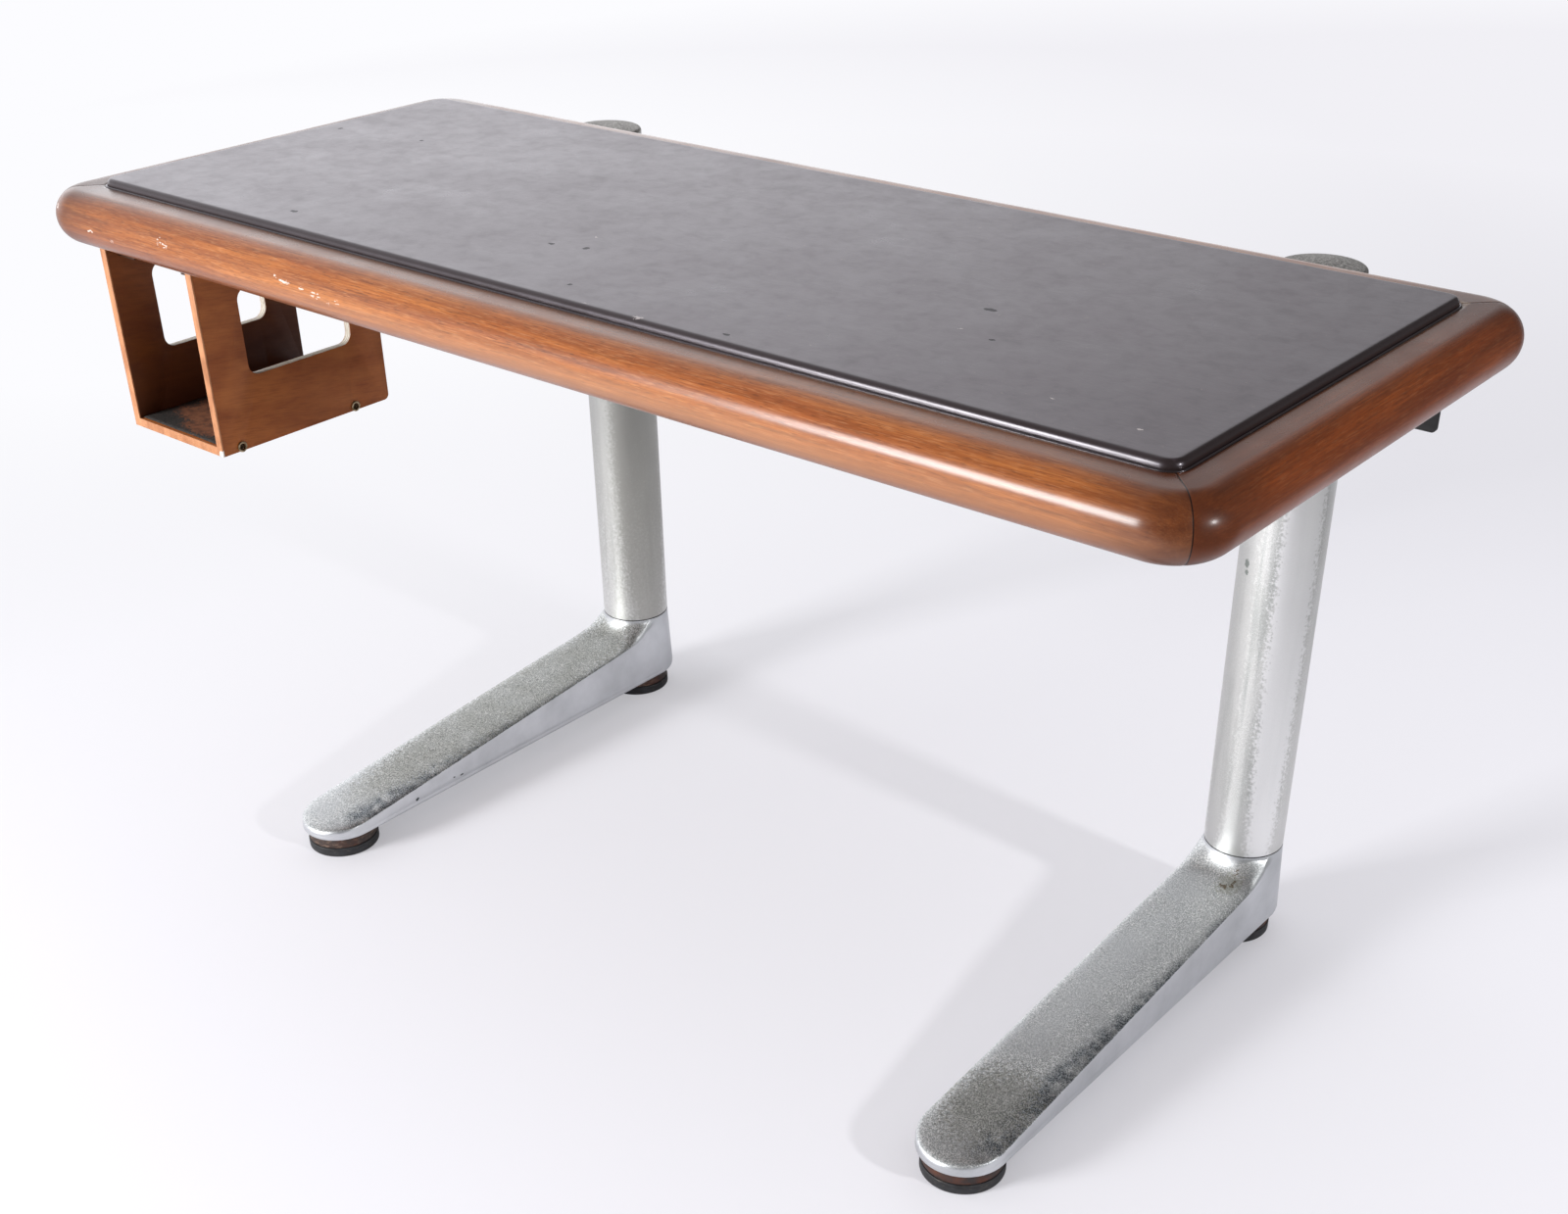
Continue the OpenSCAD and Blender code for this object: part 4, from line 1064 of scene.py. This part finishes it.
def outwards(made, merge_mm=0):
    """Merges doubles, where merge_mm is given, and turns the faces outwards, the highest one up."""
    shape = bmesh.new()
    shape.from_mesh(made.data)
    if merge_mm:
        bmesh.ops.remove_doubles(shape, verts=shape.verts, dist=merge_mm * MM)
    bmesh.ops.recalc_face_normals(shape, faces=shape.faces)
    if max(shape.faces, key=lambda f: f.calc_center_median().z).normal.z < 0:
        bmesh.ops.reverse_faces(shape, faces=shape.faces)
    shape.to_mesh(made.data)
    shape.free()


long_chips = [((x, y, z), (wide, 6, high)) for x, y, z, wide, high in (
    (-452, -317, 711, 3, 5), (-443, -317, 710, 5, 3.5), (-276, -317, 710, 3, 2), (-262, -317, 707.5, 9, 1.7),
    (-238, -317, 706, 3.5, 1.7), (-220, -317, 703, 8, 2.4), (-203, -317, 700, 3, 2.6), (-190, -317, 702, 3, 4),
    (-628, -312, 716, 3, 4), (-568, -316, 702, 7, 1.2), (-533, -316, 697, 3, 2))]
end_chips = [((640, 40, 722), (5, 7, 1.5)), ((652, 96, 716), (4, 5, 2))]
long_wood = walnut("oiled_walnut_long_grain", "X", (0, -250, 560), ("#9C5423", "#B76E32", "#743814", "#D6A67E"),
                   streaks=0.5, flecks=0.22, gloss=0.58, chips=long_chips)
end_wood = walnut("oiled_walnut_end_rail", "Y", (520, 0, 560), ("#70300E", "#8F4616", "#481D07", "#8F4616"),
                  streaks=0.5, flecks=0.1, gloss=0.28, chips=end_chips)
rails = {"front_rail": (0, long_wood, "wood_front"), "right_rail": (1, end_wood, "wood_end"),
         "rear_rail": (2, long_wood, "wood_front"), "left_rail": (3, end_wood, "wood_end")}
for node, (turns, wood, slot) in rails.items():
    sizes = (top_half_length, top_half_depth) if turns % 2 == 0 else (top_half_depth, top_half_length)
    rail = piece(node.replace("rail", "bullnose"), *rail_mesh(turns, *sizes), wood, "desk", slot, [node], 50)
    outwards(rail)


# Writing surface
# Thick dark brown leather drawn over a board and round its edges, so that the edge is a soft bead that stands
# proud of the wood. The face is polished by use, clouded, and dented and nicked in places.
leather_low, leather_high = corners_of("leather_skin")
leather_half = ((leather_high.x - leather_low.x) / 2, (leather_high.y - leather_low.y) / 2)
leather_middle = (leather_high + leather_low) / 2
panel_corner = 14
bead = (5, 6.2)
skin = 2
sag = 0.35


def hide(name, base, worn_colour, cloudy, glaze, nicks=(), scuffs=(), half=None):
    """Vegetable-tanned leather with an aged glaze: fine grain, cloudy gloss, small dark nicks and pale scuffs.

    The grain is drawn 1.6 mm apart, as coarse as the picture needs to show it. Within half, the panel's half sizes,
    a painted shade darkens the rolled edge.
    """
    made, tree, place = material(name, base, 0.34, Coat_Weight=glaze, Coat_Roughness=0.19,
                                 Specular_Tint=srgb("#FBF3FF"), Coat_Tint=srgb("#FBF6FF"))
    rub = patches(tree, place, 75, 0.34, 0.66, detail=7, roughness=0.6, distortion=0.5)
    fine = patches(tree, place, 17, detail=6, roughness=0.62, distortion=0.4)
    peck = patches(tree, place, 4.5, 0.74, 0.77, detail=2)
    colour = layered(tree, base, (rub, worn_colour), (add(tree, "MapRange", fine, 0.52, 0.72, 0, 0.35), "#1D1514"),
                     (peck, 0.5, "#7A6A5C"))
    gloss = add(tree, "Math", add(tree, "MapRange", rub, 0, 1, 0.29, 0.29 + cloudy),
                add(tree, "MapRange", fine, 0.4, 0.7, -0.02, 0.04))
    if half:
        x, y, _ = add(tree, "SeparateXYZ", place).node.outputs
        y = add(tree, "Math", y, leather_middle.y * MM, operation="SUBTRACT")
        out = [add(tree, "Math", add(tree, "Math", way, 0.0, operation="ABSOLUTE"), reach * MM, operation="SUBTRACT")
               for way, reach in ((x, half[0]), (y, half[1]))]
        out = add(tree, "Math", *out, operation="MAXIMUM")
        # Painted shade on the rolled edge of the panel.
        colour = layered(tree, colour, (add(tree, "MapRange", out, -6.5 * MM, -4.5 * MM, 0, 0.85), "#231A17"))
    grain = add(tree, "TexVoronoi", {"Vector": place, "Scale": 1 / (1.6 * MM)}, out="Distance", feature="SMOOTH_F1")
    creases = patches(tree, place, 9, detail=5, roughness=0.62, distortion=0.8, stretch=(2.6, 1, 1))
    reliefs = [(grain, 0.06, 0.3), (creases, 0.32, 0.4),
               (patches(tree, place, 48, detail=3, stretch=(2, 1, 1)), 0.5, 0.3)]
    if nicks:
        dent = marks(tree, place, nicks, 0.8)
        colour = layered(tree, colour, (dent, "#0B0908"))
        gloss = add(tree, "Math", gloss, product(tree, dent, 0.4))
        reliefs.append((product(tree, dent, -1.0), 0.6, 0.8))
    if scuffs:
        bare = product(tree, marks(tree, place, scuffs, 1.8), patches(tree, place, 2.4, 0.42, 0.52, detail=2))
        colour = layered(tree, colour, (bare, "#B5ADA8"))
        gloss = add(tree, "Math", gloss, product(tree, bare, 0.3))
    return dressed(made, *reliefs, Base_Color=colour, Roughness=gloss)


def rounded_ring(half_x, half_y, radius, straight_x, straight_y, corner):
    """Points round a rectangle with round corners, with the same count for every size."""
    ring = []
    for quarter in range(4):
        cx = (half_x - radius) * (1 if quarter in (0, 3) else -1)
        cy = (half_y - radius) * (1 if quarter in (0, 1) else -1)
        for i in range(corner + 1):
            angle = math.pi / 2 * (quarter + i / corner)
            ring.append((cx + radius * math.cos(angle), cy + radius * math.sin(angle)))
        end = ring[-1]
        if quarter % 2 == 0:
            following = ((half_x - radius) * (1 if quarter == 2 else -1), end[1])
            count = straight_x
        else:
            following = (end[0], -end[1])
            count = straight_y
        ring += [(end[0] + (following[0] - end[0]) * i / count, end[1] + (following[1] - end[1]) * i / count)
                 for i in range(1, count)]
    return ring


def wave(x, y, seed):
    """A smooth, repeatable undulation between 0 and 1."""
    total = 0
    for k, (across, ahead) in enumerate(((1.3, 0.7), (-0.6, 1.9), (2.4, 1.1), (-1.7, -2.6))):
        total += math.sin((across * x + ahead * y) / 95 + seed * (k + 1) * 1.7)
    return 0.5 + total / 8


def leather_mesh():
    """The leather's outer face: up the side, round the bead and over the board, in rings that close at the middle."""
    profile = [(0.0, leather_low.z), (0.0, leather_high.z - bead[1] - 3)]
    profile += [(bead[0] * (1 - x), leather_high.z - bead[1] * (1 - z)) for x, z in arc((0, 0), 1, 0, 90, 12)]
    inset = bead[0]
    while inset < leather_half[1] - 1:
        inset = min(inset + min(2.0 + (inset - bead[0]) * 0.45, 9), leather_half[1])
        profile.append((inset, leather_high.z))
    rings = []
    for inset, z in profile:
        ring = rounded_ring(leather_half[0] - inset, max(leather_half[1] - inset, 0.02),
                            max(panel_corner - inset, 0.02), 150, 50, 8)
        lift = min(inset / 20, 1)
        rings.append([(leather_middle.x + x, leather_middle.y + y, z - lift * sag * wave(x, y, 1)) for x, y in ring])
    return [p for ring in rings for p in ring], net(len(rings), len(rings[0]))


def thickened(made, name, thickness_mm):
    """Gives a sheet its thickness, away from the side that is seen."""
    backing = made.modifiers.new(name, "SOLIDIFY")
    backing.thickness = thickness_mm * MM
    backing.offset = -1


leather_nicks, leather_scuffs = ([((x, y, 736), (wide, deep, 4)) for x, y, wide, deep in spots] for spots in (
    ((-354, -229, 5, 3), (-82, -159, 4, 2.5), (-47, -151, 3.5, 3.5), (332, -79, 7, 3.5), (17, -234, 2.5, 2.5),
     (-584, 12, 3, 3), (-470, 28, 2.5, 2.5), (205, -251, 4, 2), (375, -138, 3, 2)),
    ((122, -262, 6, 3), (62, -262, 5, 1.2), (340, -130, 2.5, 0.8), (560, -230, 3, 0.9), (-65, -120, 2.5, 1),
     (480, -215, 2.5, 0.8))))
leather = hide("aged_brown_hide", "#2B2123", "#3A3033", cloudy=0.08, glaze=0.34, nicks=leather_nicks,
               scuffs=leather_scuffs, half=leather_half)
panel = piece("leather_writing_surface", *leather_mesh(), leather, "desk", "leather", ["leather_skin"], 60)
outwards(panel, 0.05)
thickened(panel, "leather thickness", skin)


# Welt
# A narrow strip of the same leather, skived and set between the covered board and the frame. Its top edge is
# rounded and shows as a second, darker lip.
welt_low, welt_high = corners_of("edge_welt")
welt_half = ((welt_high.x - welt_low.x) / 2, (welt_high.y - welt_low.y) / 2)
welt_width = 2.5
welt_play = 0.05
welt_top = wood_top + 0.6


def welt_mesh():
    """A strip with a rounded top edge, all round the panel."""
    edge = welt_width / 2
    profile = [(welt_play, welt_low.z), (welt_play, welt_top - edge)]
    profile += [(edge - x, z) for x, z in arc((0, welt_top - edge), edge - welt_play, 0, 180, 8)][1:]
    profile += [(welt_width - welt_play, welt_low.z)]
    rings = []
    for inset, z in profile:
        ring = rounded_ring(welt_half[0] - inset, welt_half[1] - inset, opening_round - inset, 60, 24, 8)
        rings.append([(leather_middle.x + x, leather_middle.y + y, z) for x, y in ring])
    return [p for ring in rings for p in ring], net(len(rings), len(rings[0]), True)


welt_leather = hide("skived_dark_hide", "#191312", "#241C1A", cloudy=0.1, glaze=0.5)
piece("leather_welt", *welt_mesh(), welt_leather, "desk", "leather", ["edge_welt"], 60)


# Paper rack
# Two plywood sides with a window each, and a floor between them, glued and screwed. The faces are veneered in
# orange-brown wood, the window edges show the pale plies, and thin solid lippings cover the front edges.
left_inner_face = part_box("rack_left_side")[1].x / MM


def plywood(name, axis, low_mm, high_mm, grain_axis):
    """Veneered plywood, solid all through: thin face veneers over seven cross plies, as the cut edges show.

    Painted shade darkens the face that looks into the rack at its left, most of all low down.
    """
    made, tree, place = material(name, "#7B4526", 0.5, Specular_IOR_Level=0.25)
    apart = add(tree, "SeparateXYZ", place).node.outputs
    depth = add(tree, "MapRange", apart[axis], low_mm * MM, high_mm * MM)
    to_face = add(tree, "Math", depth, add(tree, "Math", 1.0, depth, operation="SUBTRACT"), operation="MINIMUM")
    tilted = add(tree, "Mapping", {"Vector": place, "Rotation": (0.16, 0, 0)})
    grain = patches(tree, tilted, 1.5, detail=3, stretch=along(grain_axis, 12))
    figure = patches(tree, tilted, 22, detail=5, stretch=along(grain_axis, 4), distortion=0.5)
    face = layered(tree, "#A35C28", (add(tree, "MapRange", figure, 0.35, 0.65), "#86451C"),
                   (add(tree, "MapRange", grain, 0.45, 0.75, 0, 0.55), "#6F3918"),
                   (patches(tree, place, 70, 0.45, 0.7, 0, 0.4, detail=5), "#B06C36"))
    ply = add(tree, "Math", product(tree, depth, 3.5), 0.0, operation="FRACT")
    core = layered(tree, "#D6D0C6", (add(tree, "MapRange", ply, 0.48, 0.52), "#A79C8A"),
                   (patches(tree, place, 5, 0.5, 0.7, 0, 0.5), "#8D7A60"))
    # Painted shade on the inner face of the left side, strongest low down.
    inner = add(tree, "MapRange", apart["X"], (left_inner_face - 1.0) * MM, (left_inner_face - 0.6) * MM)
    ends = add(tree, "MapRange", apart["X"], (left_inner_face + 2) * MM, (left_inner_face + 4) * MM, 1, 0)
    lower = add(tree, "MapRange", apart["Z"], 500 * MM, 640 * MM, 0.9, 0.38)
    colour = layered(tree, face, (add(tree, "MapRange", to_face, 0.055, 0.075), core),
                     (inner, ends, lower, "#3A1C0E"))
    return dressed(made, (grain, 0.08, 0.4), Base_Color=colour,
                   Roughness=add(tree, "MapRange", figure, 0.3, 0.7, 0.4, 0.58))


def solid_lipping():
    """Orange-brown beech with fine straight grain, lightly varnished, and chipped pale at its lower right corner."""
    made, tree, place = material("varnished_beech_lipping", "#C98C5C", 0.5)
    grain = patches(tree, place, 1.2, detail=3, stretch=(8, 8, 20))
    low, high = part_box("rack_lipping")
    chip = marks(tree, place, [((high.x / MM - 2, low.y / MM + 2, low.z / MM + 3), (5, 5, 5))], 1.2)
    colour = layered(tree, "#C4875B", (add(tree, "MapRange", grain, 0.35, 0.7), "#A0653A"),
                     (patches(tree, place, 25, 0.5, 0.7, 0, 0.5), "#A5663E"), (chip, "#E8E2DA"))
    return dressed(made, (grain, 0.05, 1.0), Base_Color=colour)


for node in ("rack_left_side", "rack_right_side"):
    low, high = corners_of(node)
    softened(node, node + "_panel", plywood(node + "_veneered_ply", "X", low.x, high.x, "Y"), 0.4)
low, high = corners_of("rack_bottom")
floor_ply = plywood("rack_floor_veneered_ply", "Z", low.z, high.z, "X")
softened("rack_bottom", "rack_floor_panel", floor_ply, 0.3)
softened("rack_lipping", "rack_front_lipping", solid_lipping(), 0.5)
softened("rack_cleats", "rack_hanging_cleats", under_veneer, 0.5)


# Rack lining
# A thin sheet of black rubberised felt on the rack's floor. Paper has worn the middle down to the brown backing,
# and its edges have lifted a little.
felt_thickness = 0.7
felt_rest = 0.75
felt_lift, felt_raggedness = 0.5, 0.8
felt_columns, felt_rows = 26, 42


def worn_felt():
    """Black rubberised felt: matt and fibrous, rubbed to brown in a band across the middle."""
    made, tree, place = material("worn_black_felt", "#1E1B1A", 0.9)
    worn_places = [((-520, -262, 495), (40, 14, 9)), ((-552, -238, 495), (50, 22, 9)),
                   ((-574, -200, 495), (24, 34, 9))]
    wear = product(tree, marks(tree, place, worn_places, 7), patches(tree, place, 11, 0.26, 0.36, detail=5))
    fibres = patches(tree, place, 1.5)
    dark = layered(tree, "#232021", (add(tree, "MapRange", fibres, 0.4, 0.7), "#4A453F"))
    brown = layered(tree, "#8C583A", (patches(tree, place, 8, 0.4, 0.7, detail=5), "#5E3724"))
    return dressed(made, (fibres, 0.25, 0.6), Base_Color=layered(tree, dark, (wear, brown)))


def lining_mesh():
    """A wavy sheet with ragged edges."""
    low, high = corners_of("rack_lining")
    points = []
    for j in range(felt_rows + 1):
        for i in range(felt_columns + 1):
            x = low.x + (high.x - low.x) * i / felt_columns
            y = low.y + (high.y - low.y) * j / felt_rows
            edge = min(i, felt_columns - i, j, felt_rows - j)
            lift = felt_lift * wave(x * 6, y * 5, 3) * (1 if edge > 1 else 0.9)
            ragged = felt_raggedness * wave(x * 9, y * 9, 5) if edge == 0 else 0
            x += ragged * (1 if i == 0 else -1 if i == felt_columns else 0)
            y += ragged * (1 if j == 0 else -1 if j == felt_rows else 0)
            points.append((x, y, high.z - felt_rest + lift))
    return points, net(felt_rows + 1, felt_columns + 1, False, False)


lining = piece("rack_felt_lining", *lining_mesh(), worn_felt(), "desk", "lining", ["rack_lining"], 60)
thickened(lining, "felt thickness", felt_thickness)


# Screws
# Slotted countersunk brass screws in cup washers hold the rack together, and the same screws hang it from its
# cleats. Their brass has darkened, while paper and hands keep the cups rubbed. Zinc-plated pan heads with crossed
# slots hold the steel under the top.
small_head, small_shank, small_length = 3.5, 1.75, 28
small_rim = 0.25
pan_head, pan_shank, pan_height, pan_length = 5, 2.5, 3, 34
slot_angles = (0.4, 1.9, 2.7, 0.9, 1.3, 2.2, 0.1, 2.9)


def brass_finish(name, bright, dark):
    """Brass: bright where hands and paper rubbed it, and dark with tarnish in patches."""
    made, tree, place = material(name, bright, 0.42, metallic=1.0)
    tarnish = patches(tree, place, 2.5, 0.4, 0.65)
    return dressed(made, Base_Color=layered(tree, bright, (tarnish, dark)),
                   Roughness=add(tree, "MapRange", tarnish, 0, 1, 0.35, 0.6))


def screw_solid(name, profile, slots, slot_width, slot_depth, face_z):
    """A turned screw, its face towards -Z at face_z, with one or two slots milled across the face."""
    made = loose_object(name, *turned(profile, (0, 0), 24))
    reach = max(radius for radius, _ in profile) + 1
    cutters = []
    for turn in range(slots):
        box = tapered_box((-reach, -slot_width / 2, face_z - 1), (reach, slot_width / 2, face_z + slot_depth))
        cutters.append(loose_object("slot", *box))
        cutters[-1].data.transform(Matrix.Rotation(math.pi / 2 * turn, 4, "Z"))
    cut_away(made, cutters)
    return made


def small_screw():
    """A countersunk wood screw with one slot."""
    profile = [(0, 0.0), (small_head, 0.0), (small_head, small_rim),
               (small_shank, small_head - small_shank + small_rim), (small_shank, small_length - 4),
               (0, small_length)]
    return screw_solid("small_screw", profile, 1, 0.9, 1.0, 0)


def pan_screw():
    """A pan-head screw with two slots that cross."""
    profile = [(0, -pan_height), (1.6, -pan_height + 0.05), (3.2, -pan_height + 0.45), (4.4, -pan_height + 1.2),
               (pan_head, -0.9), (pan_head, 0), (pan_shank, 0), (pan_shank, pan_length - 5), (0, pan_length)]
    return screw_solid("pan_screw", profile, 2, 1.1, 1.4, -pan_height)


def set_many(name, screw, places, finish, nodes):
    """Copies one screw to many places through a Geometry Nodes tree and joins them into one piece."""
    tree = bpy.data.node_groups.new(name + " set", "GeometryNodeTree")
    tree.interface.new_socket("Places", in_out="INPUT", socket_type="NodeSocketGeometry")
    screw_input = tree.interface.new_socket("Screw", in_out="INPUT", socket_type="NodeSocketObject")
    tree.interface.new_socket("Set", in_out="OUTPUT", socket_type="NodeSocketGeometry")
    given = add(tree, "NodeGroupInput").node.outputs
    shape = add(tree, "GeometryNodeObjectInfo", {"Object": given["Screw"]}, out="Geometry")
    turn = add(tree, "GeometryNodeInputNamedAttribute", {"Name": "turn"}, out="Attribute",
               data_type="FLOAT_VECTOR")
    copies = add(tree, "GeometryNodeInstanceOnPoints", {"Points": given["Places"], "Instance": shape,
                                                        "Rotation": turn})
    real = add(tree, "GeometryNodeRealizeInstances", copies)
    add(tree, "NodeGroupOutput", add(tree, "GeometryNodeSetMaterial", {"Geometry": real, "Material": finish}))
    made = loose_object(name, [place for place, _ in places], [])
    turns = made.data.attributes.new("turn", "FLOAT_VECTOR", "POINT")
    turns.data.foreach_set("vector", [c for _, angles in places for c in angles])
    setter = made.modifiers.new("set", "NODES")
    setter.node_group = tree
    setter[screw_input.identifier] = screw
    smoothed(settled(made), 35)
    bpy.data.objects.remove(screw)
    return belongs(made, "desk", nodes)


def islands(node):
    """Boxes of the separate solids of a CAD node, in millimetres."""
    shape = bmesh.new()
    shape.from_mesh(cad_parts[node].data)
    bmesh.ops.remove_doubles(shape, verts=shape.verts, dist=0.01 * MM)
    left = set(shape.verts)
    found = []
    while left:
        grown = [left.pop()]
        for vert in grown:
            for edge in vert.link_edges:
                other = edge.other_vert(vert)
                if other in left:
                    left.remove(other)
                    grown.append(other)
        places = [v.co / MM for v in grown]
        found.append(tuple(Vector([pick(p[i] for p in places) for i in range(3)]) for pick in (min, max)))
    shape.free()
    return sorted(found, key=lambda b: tuple(round(c, 2) for c in b[0]))


def sideways(node):
    """Places and turns of screws that lie along X, driven inwards from the rack's outer faces."""
    rack_middle = (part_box("rack_bottom")[0].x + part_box("rack_bottom")[1].x) / 2 / MM
    spots = []
    for i, (low, high) in enumerate(islands(node)):
        centre = (low + high) / 2
        inward = 1 if centre.x < rack_middle else -1
        face = low.x if inward > 0 else high.x
        lying = Matrix.Rotation(inward * math.pi / 2, 3, "Y") @ Matrix.Rotation(slot_angles[i % 8], 3, "Z")
        spots.append(((face, centre.y, centre.z), tuple(lying.to_euler())))
    return spots


def upwards(node, head=0):
    """Places and turns of screws that are driven up, whose heads stand below their places by head."""
    return [(((low.x + high.x) / 2, (low.y + high.y) / 2, low.z + head), (0, 0, slot_angles[i % 8]))
            for i, (low, high) in enumerate(islands(node))]


brass = brass_finish("darkened_brass", "#4A3A29", "#251A12")
cup_brass = brass_finish("rubbed_brass", "#C2B092", "#7D6748")
for name, node, lying in (("rack_floor_brass_screws", "rack_floor_screws", True),
                          ("rack_side_brass_screws", "rack_side_screws", True),
                          ("rack_hanging_brass_screws", "rack_hanging_screws", False)):
    set_many(name, small_screw(), sideways(node) if lying else upwards(node), brass, [node])
for name, node in (("arm_pan_screws", "arm_screws"), ("stretcher_pan_screws", "stretcher_screws")):
    set_many(name, pan_screw(), upwards(node, pan_height), zinc, [node])
softened("rack_screw_cups", "rack_brass_cups", cup_brass, 0.25)


# Last lines
# The box of the finished desk.
low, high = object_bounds()
